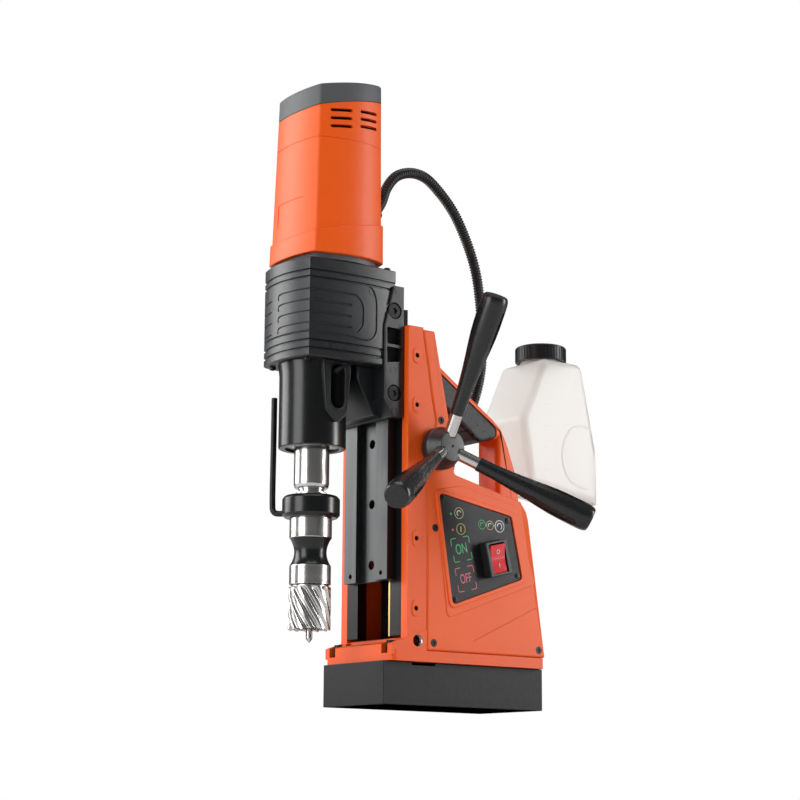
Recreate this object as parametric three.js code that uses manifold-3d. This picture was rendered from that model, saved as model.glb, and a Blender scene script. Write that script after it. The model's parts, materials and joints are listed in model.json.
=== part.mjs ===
// Magnetic drill press: a drill carriage on a dovetail slide, standing on an electromagnet base.
// Millimetres, +Z up. The origin is the centre of the magnet's pole face, -Y is the spindle side (front),
// +X is the side with the feed handle and the control panel.
import * as THREE from "three";
import { mergeVertices } from "three/addons/utils/BufferGeometryUtils.js";
import Module from "manifold-3d";

const wasm = await Module();
wasm.setup();

// ---------- driving dimensions ----------
const GAP = 0.3; // between pieces that touch
const MAGNET = { halfX: 50, halfY: 102, top: 42 };
const FOOT = { halfX: 56, front: -96, rear: 101, bottom: MAGNET.top + GAP, top: 53 };
const WALL = { inner: 45, outer: 55, front: -77, seam: -53, top: 378 };
const SPINDLE = { y: -155 };
const MOTOR_Y = -140;
const FEED = { y: -40, z: 255 };
const SLIDE = { halfX: 36, front: -88, bottom: 123, top: 400 };
const BRACKET = { halfX: 48.5, front: -100, rear: -78, bottom: 283, top: 418 };
const GEARBOX = { bottom: 334, top: 434 };
const NOSE = { r: 33.5, bottom: 249.5 };
const SPOKE = { lean: THREE.MathUtils.degToRad(29.5), rootX: 68, rodStart: 15, gripStart: 36, end: 162 };
const SHELL = { outerX: 56, wall: 3 };
const BOTTLE = { x0: -72, x1: 2, neckY: 178, wall: 2 };
const PANEL_TILT = THREE.MathUtils.degToRad(13.5);
const SWITCH = { x: 61.5, y: 31, z: 150, halfU: 14.4, halfV: 17.8, front: 66.5 };

// ---------- materials ----------
const material = (color, roughness, metalness) =>
  new THREE.MeshStandardMaterial({ color, roughness, metalness });
const ORANGE = material(0xe8501c, 0.45, 0);
const ORANGE_PAINT = material(0xe0521f, 0.5, 0.1);
const BLACK_CAST = material(0x26282a, 0.55, 0.2);
const BLACK_PLASTIC = material(0x1c1c1e, 0.5, 0);
const GREY_PLASTIC = material(0x54575a, 0.55, 0);
const MAGNET_PAINT = material(0x333537, 0.6, 0.2);
const SLIDE_STEEL = material(0x8d9194, 0.35, 0.9);
const BRIGHT_STEEL = material(0xcfd2d4, 0.18, 1);
const BLACK_STEEL = material(0x1b1c1e, 0.35, 0.8);
const BRASS = material(0xb08a3e, 0.35, 1);
const COPPER = material(0x9a5a2c, 0.4, 1);
const RED_LENS = material(0xd01020, 0.25, 0);
const GREEN_BOARD = material(0x1f5a34, 0.6, 0);
const TANK = material(0xf0efe9, 0.4, 0);
const RUBBER = material(0x202020, 0.8, 0);

// ---------- shape helpers ----------
const drill = new THREE.Group();

function add(name, geometry, mat, parent = drill) {
  const mesh = new THREE.Mesh(geometry, mat);
  mesh.name = name;
  parent.add(mesh);
  return mesh;
}

function solid(geometry) {
  const bare = geometry.index ? geometry.toNonIndexed() : geometry.clone();
  bare.deleteAttribute("normal");
  bare.deleteAttribute("uv");
  const merged = mergeVertices(bare, 1e-3);
  return new wasm.Manifold(new wasm.Mesh({
    numProp: 3,
    vertProperties: merged.attributes.position.array,
    triVerts: new Uint32Array(merged.index.array),
  }));
}

function geometryOf(manifold) {
  const mesh = manifold.getMesh();
  const positions = new Float32Array(mesh.numVert * 3);
  for (let i = 0; i < mesh.numVert; i++) {
    positions.set(mesh.vertProperties.subarray(i * mesh.numProp, i * mesh.numProp + 3), i * 3);
  }
  return new THREE.BufferGeometry()
    .setAttribute("position", new THREE.BufferAttribute(positions, 3))
    .setIndex(new THREE.BufferAttribute(mesh.triVerts, 1));
}

const join = (...geometries) => geometryOf(geometries.map(solid).reduce((a, b) => a.add(b)));
const cut = (body, ...tools) => geometryOf(tools.map(solid).reduce((a, b) => a.subtract(b), solid(body)));
const common = (a, b) => geometryOf(solid(a).intersect(solid(b)));

function box(x0, x1, y0, y1, z0, z1) {
  return new THREE.BoxGeometry(x1 - x0, y1 - y0, z1 - z0)
    .translate((x0 + x1) / 2, (y0 + y1) / 2, (z0 + z1) / 2);
}

const outline = (points) => new THREE.Shape(points.map(([u, v]) => new THREE.Vector2(u, v)));
const asShape = (profile) => (profile instanceof THREE.Shape ? profile : outline(profile));

function extrude(profile, depth, curveSegments) {
  return new THREE.ExtrudeGeometry(asShape(profile), { depth, bevelEnabled: false, curveSegments });
}

// A profile drawn in X and Y, raised from z0 to z1.
function alongZ(profile, z0, z1, curveSegments = 8) {
  return extrude(profile, z1 - z0, curveSegments).translate(0, 0, z0);
}

// A profile drawn in Y and Z, extruded from x0 to x1.
function alongX(profile, x0, x1, curveSegments = 8) {
  const turn = new THREE.Matrix4().makeBasis(
    new THREE.Vector3(0, 1, 0), new THREE.Vector3(0, 0, 1), new THREE.Vector3(1, 0, 0));
  return extrude(profile, x1 - x0, curveSegments).applyMatrix4(turn).translate(x0, 0, 0);
}

// A body of revolution about +Z, from [radius, height] points that start and end on the axis or
// close on themselves.
function turned(points, segments = 24) {
  const profile = points.map(([r, z]) => new THREE.Vector2(r, z));
  return new THREE.LatheGeometry(profile, segments).rotateX(Math.PI / 2);
}

function ring(inner, outer, z0, z1, segments = 28) {
  return turned([[inner, z0], [outer, z0], [outer, z1], [inner, z1], [inner, z0]], segments);
}

function cylinder(r, z0, z1, segments = 20) {
  return turned([[0, z0], [r, z0], [r, z1], [0, z1]], segments);
}

const xAxis = (geometry) => geometry.rotateY(Math.PI / 2); // +Z becomes +X
const yAxis = (geometry) => geometry.rotateX(-Math.PI / 2); // +Z becomes +Y
const at = (geometry, x, y, z) => geometry.translate(x, y, z);

const holeX = (r, x0, x1, y, z, segments = 16) => at(xAxis(cylinder(r, x0, x1, segments)), 0, y, z);
const holeZ = (r, x, y, z0, z1, segments = 16) => at(cylinder(r, z0, z1, segments), x, y, 0);

function roundedRectangle(x0, x1, y0, y1, r) {
  const s = new THREE.Shape();
  s.moveTo(x0 + r, y0);
  s.lineTo(x1 - r, y0);
  s.absarc(x1 - r, y0 + r, r, -Math.PI / 2, 0);
  s.lineTo(x1, y1 - r);
  s.absarc(x1 - r, y1 - r, r, 0, Math.PI / 2);
  s.lineTo(x0 + r, y1);
  s.absarc(x0 + r, y1 - r, r, Math.PI / 2, Math.PI);
  s.lineTo(x0, y0 + r);
  s.absarc(x0 + r, y0 + r, r, Math.PI, 1.5 * Math.PI);
  return s;
}

function tube(points, r, steps, sides = 10) {
  const path = new THREE.CatmullRomCurve3(points.map((p) => new THREE.Vector3(...p)), false, "centripetal");
  const section = new THREE.Shape();
  for (let i = 0; i < sides; i++) {
    const a = (i / sides) * 2 * Math.PI;
    if (i === 0) section.moveTo(r * Math.cos(a), r * Math.sin(a));
    else section.lineTo(r * Math.cos(a), r * Math.sin(a));
  }
  return new THREE.ExtrudeGeometry(section, { steps, extrudePath: path });
}

// A socket head screw whose head looks along +Z and ends at z = 0, with a shank below it.
function socketScrew(headR, headH, shankR, shankL, socketR) {
  const socket = turned([[0, -headH * 0.6], [socketR, -headH * 0.6], [socketR, 1], [0, 1]], 6);
  const body = turned([[0, -headH - shankL], [shankR, -headH - shankL], [shankR, -headH],
    [headR, -headH], [headR, 0], [0, 0]], 12);
  return cut(body, socket);
}

// ---------- gears ----------
const PRESSURE = THREE.MathUtils.degToRad(20);
const ADDENDUM = 0.8; // stub teeth, in modules
const DEDENDUM = 1.15;
const BACKLASH = 0.16;

// The outline of an involute spur gear about the origin, with one tooth centred on the angle phase.
function gearOutline(module, teeth, phase) {
  const pitch = (module * teeth) / 2;
  const base = pitch * Math.cos(PRESSURE);
  const tip = pitch + ADDENDUM * module;
  const root = pitch - DEDENDUM * module;
  const involute = (r) => Math.tan(Math.acos(Math.min(1, base / r))) - Math.acos(Math.min(1, base / r));
  const halfAtPitch = Math.PI / (2 * teeth) - BACKLASH / (2 * pitch);
  const half = (r) => halfAtPitch + involute(pitch) - involute(Math.max(r, base));
  const radii = teeth > 20 ? [root, tip] : [root, pitch, tip];
  const points = [];
  for (let i = 0; i < teeth; i++) {
    const centre = phase + (i * 2 * Math.PI) / teeth;
    for (const r of radii) points.push([r * Math.cos(centre - half(r)), r * Math.sin(centre - half(r))]);
    for (const r of [...radii].reverse()) {
      points.push([r * Math.cos(centre + half(r)), r * Math.sin(centre + half(r))]);
    }
  }
  return points.filter(([u, v], i) => {
    const [a, b] = points[(i + 1) % points.length];
    return Math.hypot(u - a, v - b) > 1e-3;
  });
}

// ---------- magnet base ----------
function magnetBase() {
  const coilSlot = cut(
    box(-38, 38, -90, 90, -1, 30),
    box(-24, 24, -76, 76, -2, 31));
  const strapSlot = box(-60, 60, -67, -38, MAGNET.top - 2.8, MAGNET.top + 1);
  const body = box(-MAGNET.halfX, MAGNET.halfX, -MAGNET.halfY, MAGNET.halfY, 0, MAGNET.top);
  add("magnet_body", cut(body, coilSlot, strapSlot), MAGNET_PAINT);
  const coil = cut(
    box(-38 + GAP, 38 - GAP, -90 + GAP, 90 - GAP, 0.6, 30 - GAP),
    box(-24 - GAP, 24 + GAP, -76 - GAP, 76 + GAP, -1, 31));
  add("magnet_coil", coil, COPPER);
}

// ---------- frame casting, rails and gib ----------
const GIB_SCREW_Z = [94, 163, 230, 297.5, 348];
const GIB_SCREW_Y = -66.5;
const STRAP_HOLE = { y: -64, z: 62.5, r: 6 };
const FOOT_BOLT = { x: 43.5, y: -88.5 };
const WEB = [[-50, 374], [-26, 262], [-26, 52], [-22.5, 52], [-22.5, 262], [-46.5, 374]];
// The line, in Y and Z, where the casting's side walls meet the rear shells.
const SEAM = [[WALL.seam, 235], [-47, 262], [-42.5, 283], [-48.5, 312], [-53, 340], [-58.6, 371], [-58, 376]];

function frameCasting() {
  const footOutline = roundedRectangle(-FOOT.halfX, FOOT.halfX, FOOT.front, FOOT.rear, 6);
  const foot = alongZ(footOutline, FOOT.bottom, FOOT.top, 4);
  const toe = alongX([[FOOT.front, 48], [WALL.seam, 48], [WALL.seam, 74], [WALL.front, 65], [FOOT.front, 58.5]],
    -FOOT.halfX + 0.5, FOOT.halfX - 0.5);
  const parts = [foot, toe];
  for (const side of [-1, 1]) {
    const x = (a, b) => (side > 0 ? [a, b] : [-b, -a]);
    const outer = [[WALL.front, 50], [WALL.seam - GAP, 50], ...SEAM.map(([y, z]) => [y - GAP, z]),
      [-58 - GAP, WALL.top], [WALL.front, WALL.top]];
    parts.push(alongX(outer, ...x(WALL.inner, WALL.outer)));
    const inner = [[WALL.seam - 1, 50], [-24, 50], [-24, 262], [-47, 374], [WALL.seam - 1, 374]];
    parts.push(alongX(inner, ...x(WALL.inner, 50)));
  }
  parts.push(alongX(WEB, -50, 50));
  const slidePocket = box(-39, 39, -89.5, WALL.front, 30, 80);
  const channel = box(-WALL.inner, WALL.inner, WALL.front - 0.01, -26, 66, 90);
  const tools = [slidePocket, channel,
    holeX(12.3, 40, 60, FEED.y, FEED.z, 24),
    holeX(8.3, -60, -40, FEED.y, FEED.z, 24),
    holeX(STRAP_HOLE.r, 40, 60, STRAP_HOLE.y, STRAP_HOLE.z, 20),
    box(-16, 16, -30, -18, 90, 150)];
  for (const z of GIB_SCREW_Z) tools.push(holeX(3.3, 40, 60, GIB_SCREW_Y, z, 12));
  for (const x of [-FOOT_BOLT.x, FOOT_BOLT.x]) tools.push(box(x - 5, x + 5, FOOT.front - 1, -82.5, 49.5, 70));
  add("frame_casting", cut(join(...parts), ...tools), ORANGE_PAINT);

  GIB_SCREW_Z.forEach((z, i) => {
    const screw = socketScrew(3, 3, 3, 14, 1.6);
    const mesh = add("gib_screw_" + (i + 1), xAxis(screw), BLACK_STEEL);
    mesh.position.set(WALL.outer - 0.6, GIB_SCREW_Y, z);
  });
  for (const side of [-1, 1]) {
    const bolt = add("foot_bolt_" + (side < 0 ? "left" : "right"),
      cut(cylinder(4.2, 0, 12.5, 14), cylinder(2, 9.5, 14, 6)), BLACK_STEEL);
    bolt.position.set(side * FOOT_BOLT.x, FOOT_BOLT.y, 49.5 + GAP);
  }
}

const DOVETAIL = Math.tan(THREE.MathUtils.degToRad(30));
const RAIL = { inner: 27, outer: WALL.inner - GAP, front: WALL.front, rear: -58, bottom: 68, top: 374 };
const flank = (x, y) => x + (y - RAIL.front) * DOVETAIL;
const GIB = { inner: 24.5, outer: 26.7, rear: -61 };

function rails() {
  for (const side of [-1, 1]) {
    const profile = [[RAIL.inner, RAIL.front], [RAIL.outer, RAIL.front], [RAIL.outer, RAIL.rear],
      [flank(RAIL.inner, RAIL.rear), RAIL.rear]].map(([x, y]) => [side * x, y]);
    const bar = alongZ(profile, RAIL.bottom, RAIL.top);
    const holes = side > 0 ? GIB_SCREW_Z.map((z) => holeX(3.3, 20, 60, GIB_SCREW_Y, z, 12)) : [];
    add("guide_rail_" + (side < 0 ? "left" : "right"), cut(bar, ...holes), SLIDE_STEEL);
  }
  const strip = [[GIB.inner, RAIL.front], [GIB.outer, RAIL.front], [flank(GIB.outer, GIB.rear), GIB.rear],
    [flank(GIB.inner, GIB.rear), GIB.rear]];
  add("gib_strip", alongZ(strip, RAIL.bottom, RAIL.top), BRASS);
}

// ---------- slide, rack and feed ----------
const MODULE = 1.5;
const PINION_TEETH = 16;
const PITCH_R = (MODULE * PINION_TEETH) / 2;
const TONGUE = { left: -26.5, right: 24.2, rear: -61.5, bottom: 146 };
const RACK = { halfX: 9, back: TONGUE.rear + GAP, bottom: 138, teeth: 42 };
const RACK_TIP_Y = FEED.y - PITCH_R + ADDENDUM * MODULE;

function slideAndRack() {
  const plate = box(-SLIDE.halfX, SLIDE.halfX, SLIDE.front, WALL.front - 0.4, SLIDE.bottom, SLIDE.top);
  const y0 = WALL.front - 1;
  const tongue = [[TONGUE.left, y0], [TONGUE.right, y0], [TONGUE.right, WALL.front],
    [flank(TONGUE.right, TONGUE.rear), TONGUE.rear], [-flank(-TONGUE.left, TONGUE.rear), TONGUE.rear],
    [TONGUE.left, WALL.front]];
  const tools = [box(-16, 16, SLIDE.front - 1, SLIDE.front + 7.5, SLIDE.bottom - 1, SLIDE.top + 1)];
  for (const z of [140, 201.5, 263]) tools.push(at(yAxis(cylinder(4.6, 0, 12, 16)), 0, SLIDE.front + 5, z));
  for (const x of [-25.5, 25.5]) tools.push(at(yAxis(cylinder(2.4, 0, 9, 12)), x, SLIDE.front - 1, 130));
  add("slide", cut(join(plate, alongZ(tongue, TONGUE.bottom, SLIDE.top)), ...tools), SLIDE_STEEL);

  const pitchY = FEED.y - PITCH_R;
  const step = Math.PI * MODULE;
  const firstGap = FEED.z - Math.floor((FEED.z - RACK.bottom) / step) * step;
  const halfGap = (depth) => step / 4 + BACKLASH / 2 + depth * Math.tan(PRESSURE);
  const top = firstGap + (RACK.teeth - 0.5) * step;
  const profile = [[RACK.back, firstGap - step / 2], [pitchY + ADDENDUM * MODULE, firstGap - step / 2]];
  for (let i = 0; i < RACK.teeth; i++) {
    const z = firstGap + i * step;
    const tip = ADDENDUM * MODULE;
    const root = -DEDENDUM * MODULE;
    profile.push([pitchY + tip, z - halfGap(tip)], [pitchY + root, z - halfGap(root)],
      [pitchY + root, z + halfGap(root)], [pitchY + tip, z + halfGap(tip)]);
  }
  profile.push([pitchY + ADDENDUM * MODULE, top], [RACK.back, top]);
  add("rack", alongX(profile, -RACK.halfX, RACK.halfX), BLACK_STEEL);
}

// A direction of a spoke: angle round the feed axis from +Y, leaning out towards +X.
function spokeFrame(angle) {
  const reach = Math.cos(SPOKE.lean);
  const out = new THREE.Vector3(Math.sin(SPOKE.lean), reach * Math.cos(angle), reach * Math.sin(angle));
  const group = new THREE.Group();
  group.position.set(SPOKE.rootX, FEED.y, FEED.z);
  group.quaternion.setFromUnitVectors(new THREE.Vector3(0, 0, 1), out);
  group.updateMatrixWorld(true);
  return group;
}

const SPOKE_ANGLES = [90, -30, 210].map(THREE.MathUtils.degToRad);

function feed() {
  const shaft = join(
    at(xAxis(cylinder(8, -49.5, 71, 16)), 0, FEED.y, FEED.z),
    alongX(gearOutline(MODULE, PINION_TEETH, Math.PI), -8, 8).translate(0, FEED.y, FEED.z));
  add("pinion_shaft", shaft, BLACK_STEEL);
  const bush = xAxis(turned([[8.3, 43], [14, 43], [14, WALL.inner - GAP], [12, WALL.inner - GAP], [12, 50],
    [8.3, 50], [8.3, 43]], 20));
  add("feed_bush", at(bush, 0, FEED.y, FEED.z), BRASS);

  const hubBody = at(xAxis(turned([[0, 56.6], [20.5, 56.6], [21.5, 57.6], [21.5, 64], [20.5, 66], [14.9, 79.4],
    [14.3, 80], [0, 80]], 28)), 0, FEED.y, FEED.z);
  const frames = SPOKE_ANGLES.map(spokeFrame);
  const sockets = frames.map((f) => cylinder(6.5, 13, 40, 16).applyMatrix4(f.matrixWorld));
  const shaftBore = at(xAxis(cylinder(8.3, 50, 71.4, 16)), 0, FEED.y, FEED.z);
  const centreMark = at(xAxis(cylinder(1.6, 77.5, 82, 10)), 0, FEED.y, FEED.z);
  add("feed_hub", cut(hubBody, shaftBore, centreMark, ...sockets), BLACK_CAST);

  const gripProfile = [[6.5, SPOKE.gripStart], [7.2, SPOKE.gripStart], [7.6, 56], [9.2, 80], [12, 108],
    [13.6, 130], [13.7, 153], [11.6, SPOKE.end], [0, SPOKE.end], [0, 72], [6.5, 70], [6.5, SPOKE.gripStart]];
  frames.forEach((f, i) => {
    drill.add(f);
    add("spoke_rod_" + (i + 1), cylinder(6.2, 13.6, 69.5, 16), BRIGHT_STEEL, f);
    add("spoke_grip_" + (i + 1), turned(gripProfile, 16), BLACK_PLASTIC, f);
  });
}

// ---------- drill carriage ----------
function coverOutline(front, half, bulge, side, rear, rearHalf) {
  const s = new THREE.Shape();
  s.moveTo(-half, front);
  s.quadraticCurveTo(0, front - 2 * bulge, half, front);
  s.quadraticCurveTo(2 * side - (half + rearHalf) / 2, (front + rear) / 2, rearHalf, rear);
  s.lineTo(-rearHalf, rear);
  s.quadraticCurveTo(-2 * side + (half + rearHalf) / 2, (front + rear) / 2, -half, front);
  return s;
}

const CLAMP_BOLT_Z = [307.5, 391.8];
const CLAMP_BOLT_Y = -89.8;

function gearboxCasting() {
  const outer = alongZ(coverOutline(-188, 40, 8, 46.5, -86, 45), GEARBOX.bottom, GEARBOX.top, 7);
  const bracket = box(-BRACKET.halfX, BRACKET.halfX, BRACKET.front, BRACKET.rear, BRACKET.bottom, BRACKET.top);
  const cavity = alongZ(coverOutline(-183.5, 36, 8, 42.5, -105, 41), 340, GEARBOX.top + 1, 7);
  const slotX = SLIDE.halfX + GAP;
  const slideSlot = box(-slotX, slotX, SLIDE.front - GAP, -70, BRACKET.bottom - 1, SLIDE.top + GAP);
  const tools = [cavity, slideSlot, holeZ(18, 0, SPINDLE.y, 330, 342, 24)];
  for (const side of [-1, 1]) {
    const x = (a, b) => (side > 0 ? [a, b] : [-b, -a]);
    tools.push(box(...x(40.5, 50), -97, -83.5, 337, 354), box(...x(40.5, 50), -97, -83.5, 357, 374));
    for (const z of CLAMP_BOLT_Z) {
      const [a, b] = x(45, 50);
      tools.push(holeX(8.6, a, b, CLAMP_BOLT_Y, z, 24));
      if (side > 0) tools.push(holeX(3.3, 36, 46, CLAMP_BOLT_Y, z, 12));
    }
  }
  add("gearbox_casting", cut(join(outer, bracket), ...tools), BLACK_CAST);
  CLAMP_BOLT_Z.forEach((z, i) => {
    const bolt = add("clamp_bolt_" + (i + 1), xAxis(socketScrew(7.4, 2.4, 3, 8, 3.2)), BLACK_STEEL);
    bolt.position.set(47.8, CLAMP_BOLT_Y, z);
  });
}

function spindleNose() {
  const top = GEARBOX.bottom - GAP;
  const body = turned([[27, NOSE.bottom], [NOSE.r - 0.8, NOSE.bottom], [NOSE.r, NOSE.bottom + 1], [NOSE.r, 320],
    [35, top], [18.5, top], [18.5, 266], [27, 266], [27, NOSE.bottom]], 36);
  const boss = common(
    alongX(roundedRectangle(SPINDLE.y + 4 - 14, SPINDLE.y + 4 + 14, 274, 350, 13), 20, 36.5, 4),
    box(0, 60, -200, -100, 270, top)).translate(0, -SPINDLE.y, 0);
  const bored = cut(join(body, cut(boss, cylinder(25, 200, 400))),
    alongX(roundedRectangle(4 - 8.5, 4 + 8.5, 287, 331, 8), 10, 40, 3));
  add("spindle_nose", bored.translate(0, SPINDLE.y, 0), BLACK_CAST);
  add("nose_bearing", at(ring(17.9, 26.6, 251.5, 265.5, 28), 0, SPINDLE.y, 0), BRIGHT_STEEL);
}

function spindleAndTool() {
  const group = new THREE.Group();
  group.position.y = SPINDLE.y;
  drill.add(group);
  const spindle = turned([[0, 404], [8.5, 404], [8.5, 398], [14, 397], [14, 372], [16, 371], [16, 268],
    [17.5, 267],
    [17.5, 211.2], [16.7, 210.4], [12.4, 210.4], [10, 292], [0, 294]].reverse(), 24);
  add("spindle", spindle, BRIGHT_STEEL, group);
  const gear = cut(alongZ(gearOutline(1.25, 34, Math.atan2(155 - 134.65, 20.3)), 382, 396),
    cylinder(14.3, 380, 400, 20));
  add("spindle_gear", gear, BLACK_STEEL, group);

  const waist = [0, 1, 2, 3, 4].map((i) => {
    const t = i / 4;
    return [20.2 - 4.4 * Math.sin(Math.PI * t) ** 0.8, 133 + 27 * t];
  });
  const arbor = turned([[9.6, 114.3], [19.5, 114.3], [20.2, 115], ...waist, [20.8, 161], [20.8, 180], [19, 180],
    [19, 203.6], [12.4, 203.6], [12.4, 210], [9.6, 290], [3.5, 290], [3.5, 150], [9.6, 150], [9.6, 114.3]], 24);
  add("arbor", arbor, BRIGHT_STEEL, group);
  add("annular_cutter", annularCutter(), BRIGHT_STEEL, group);
  const pin = turned([[0, 58.7], [0.6, 58.9], [3.1, 62.5], [3.1, 168], [0, 168]], 12);
  add("pilot_pin", pin, BRIGHT_STEEL, group);
  const collar = turned([[19.3, 180.6], [26.4, 180.6], [28.3, 182.6], [28.3, 200.2], [26.6, 202.2],
    [19.3, 202.2], [19.3, 180.6]], 28);
  add("coolant_ring", collar, BLACK_STEEL, group);
}

const CUTTER = { r: 20.7, root: 18.6, bore: 15.6, bottom: 70.5, top: 114, flutes: 12, twist: Math.PI * 0.39 };

// A hollow cutter: the fluted outline turns as it rises.
function annularCutter() {
  const points = [];
  for (let i = 0; i < CUTTER.flutes; i++) {
    const a = (i * 2 * Math.PI) / CUTTER.flutes;
    for (const [share, r] of [[0, CUTTER.r], [0.55, CUTTER.r], [0.7, CUTTER.root], [0.92, CUTTER.root]]) {
      const b = a + (share * 2 * Math.PI) / CUTTER.flutes;
      points.push([r * Math.cos(b), r * Math.sin(b)]);
    }
  }
  const height = CUTTER.top - CUTTER.bottom - 0.2;
  const steps = 6;
  const shell = new THREE.ExtrudeGeometry(outline(points), { depth: height, steps, bevelEnabled: false });
  const p = shell.attributes.position;
  for (let i = 0; i < p.count; i++) {
    const a = -CUTTER.twist * (p.getZ(i) / height);
    const [x, y] = [p.getX(i), p.getY(i)];
    p.setXY(i, x * Math.cos(a) - y * Math.sin(a), x * Math.sin(a) + y * Math.cos(a));
  }
  shell.translate(0, 0, CUTTER.bottom);
  const neck = turned([[0, 104], [18.4, 104], [18.4, 112], [17.6, CUTTER.top], [9.3, CUTTER.top], [9.3, 146],
    [0, 146]], 24);
  return cut(join(shell, neck), cylinder(CUTTER.bore, 60, 103, 24), cylinder(3.5, 60, 150, 10));
}

const PIPE_AT = [-47.5, -169];

function coolantPipe() {
  const towards = new THREE.Vector2(PIPE_AT[0], PIPE_AT[1] - SPINDLE.y).normalize();
  const [x, y] = PIPE_AT;
  const z = 188.4;
  const start = [towards.x * 28.8, SPINDLE.y + towards.y * 28.8, z];
  const points = [start, [x - towards.x * 9, y - towards.y * 9, z],
    [x - towards.x * 3, y - towards.y * 3, z + 1.4], [x - towards.x * 0.6, y - towards.y * 0.6, z + 4.6], [x, y, z + 11], [x, y, 260], [x, y, 307]];
  add("coolant_pipe", tube(points, 3.1, 14, 8), BLACK_STEEL);
}

// Plan outline of the motor body at its foot; it narrows upwards about its rear face.
const MOTOR = { bottom: 440, seamFront: 594, top: 616.5, halfX: 40, rearHalfX: 43.6, front: 42, rear: 41.3,
  slope: 0.22, topSlope: 0.17, narrowing: 1 / 2800 };

function motorOutline(grow) {
  const front = MOTOR.front + grow;
  const rear = MOTOR.rear + grow;
  const frontX = MOTOR.halfX + grow;
  const rearX = MOTOR.rearHalfX + grow;
  const s = new THREE.Shape();
  s.moveTo(-frontX, -front);
  s.quadraticCurveTo(0, -front - 12, frontX, -front);
  s.quadraticCurveTo(frontX + 18, 0, rearX, rear - 8);
  s.lineTo(rearX - 8, rear);
  s.quadraticCurveTo(0, rear + 8, -rearX + 8, rear);
  s.lineTo(-rearX, rear - 8);
  s.quadraticCurveTo(-frontX - 18, 0, -frontX, -front);
  return s;
}

function taper(geometry) {
  const p = geometry.attributes.position;
  for (let i = 0; i < p.count; i++) {
    const k = 1 - (p.getZ(i) - MOTOR.bottom) * MOTOR.narrowing;
    p.setXY(i, p.getX(i) * k, MOTOR.rear + (p.getY(i) - MOTOR.rear) * k);
  }
  return geometry;
}

// Everything above a plane that rises towards the rear, z at the motor's front edge given.
function above(zFront, slope) {
  return alongX([[-60, zFront + slope * -22], [60, zFront + slope * 98], [60, 760], [-60, 760]], -70, 70);
}

function motorPiece(grow, z0, z1) {
  return taper(alongZ(motorOutline(grow), z0, z1, 5));
}

function motor() {
  const group = new THREE.Group();
  group.position.y = MOTOR_Y;
  drill.add(group);
  const flange = alongZ(motorOutline(-3), GEARBOX.top + GAP, MOTOR.bottom - GAP, 5);
  add("motor_flange", cut(flange, cylinder(9, 430, 445)), GREY_PLASTIC, group);

  const skirt = cut(motorPiece(1.4, MOTOR.bottom, 500), above(463, MOTOR.slope));
  const body = cut(motorPiece(0, MOTOR.bottom + 1, 640), above(MOTOR.seamFront, MOTOR.slope));
  const tools = [motorPiece(-3.6, MOTOR.bottom + 5, 660), cylinder(14, 430, 450)];
  for (const side of [-1, 1]) {
    for (const row of [0, 1, 2]) {
      const z = 591.5 - row * 8.2;
      for (const [y0, y1] of [[-27, -4], [5.5, 30]]) {
        tools.push(box(side > 0 ? 25 : -60, side > 0 ? 60 : -25, y0, y1, z - 1.8, z + 1.8));
      }
    }
  }
  add("motor_housing", cut(join(body, skirt), ...tools), ORANGE, group);

  const capBlock = common(motorPiece(0, 580, 660), above(MOTOR.seamFront + GAP, MOTOR.slope));
  const inside = cut(motorPiece(-3.6, 570, 660), above(MOTOR.top - 6, MOTOR.topSlope));
  const cap = cut(capBlock, above(MOTOR.top, MOTOR.topSlope), inside);
  add("motor_cap", cap, GREY_PLASTIC, group);

  add("stator", ring(24.5, 35, 482, 560, 24), BLACK_STEEL, group);
  const armature = join(
    turned([[0, 406], [3.6, 406], [3.6, 429], [6, 430], [6, 450], [33, 450], [33, 460], [8, 464], [8, 484],
      [22, 484], [22, 556], [8, 556], [8, 567], [13, 567], [13, 582], [5, 582], [5, 596], [0, 596]], 20),
    alongZ(gearOutline(1, 12, Math.atan2(140 - 134.65, 20.3)), 408, 427));
  add("armature", armature, COPPER, group);
  idler();
}

// Turns a mirrored geometry's faces the right way round again.
function facingOut(geometry) {
  const s = solid(geometry);
  if (s.volume() >= 0) return geometry;
  const flipped = (geometry.index ? geometry.toNonIndexed() : geometry.clone());
  const p = flipped.attributes.position;
  for (let i = 0; i < p.count; i += 3) {
    const [x, y, z] = [p.getX(i + 1), p.getY(i + 1), p.getZ(i + 1)];
    p.setXYZ(i + 1, p.getX(i + 2), p.getY(i + 2), p.getZ(i + 2));
    p.setXYZ(i + 2, x, y, z);
  }
  return flipped;
}

const IDLER_AT = [20.3, -134.65];

function idler() {
  const towardsMotor = Math.atan2(MOTOR_Y - IDLER_AT[1], -IDLER_AT[0]);
  const towardsSpindle = Math.atan2(SPINDLE.y - IDLER_AT[1], -IDLER_AT[0]);
  const shape = join(
    cylinder(5, 341, 431, 20),
    alongZ(gearOutline(1, 30, towardsMotor + Math.PI / 30), 410.5, 424.5),
    alongZ(gearOutline(1.25, 12, towardsSpindle + Math.PI / 12), 378, 411));
  add("idler_gear", at(shape, ...IDLER_AT, 0), BLACK_STEEL);
}

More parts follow.
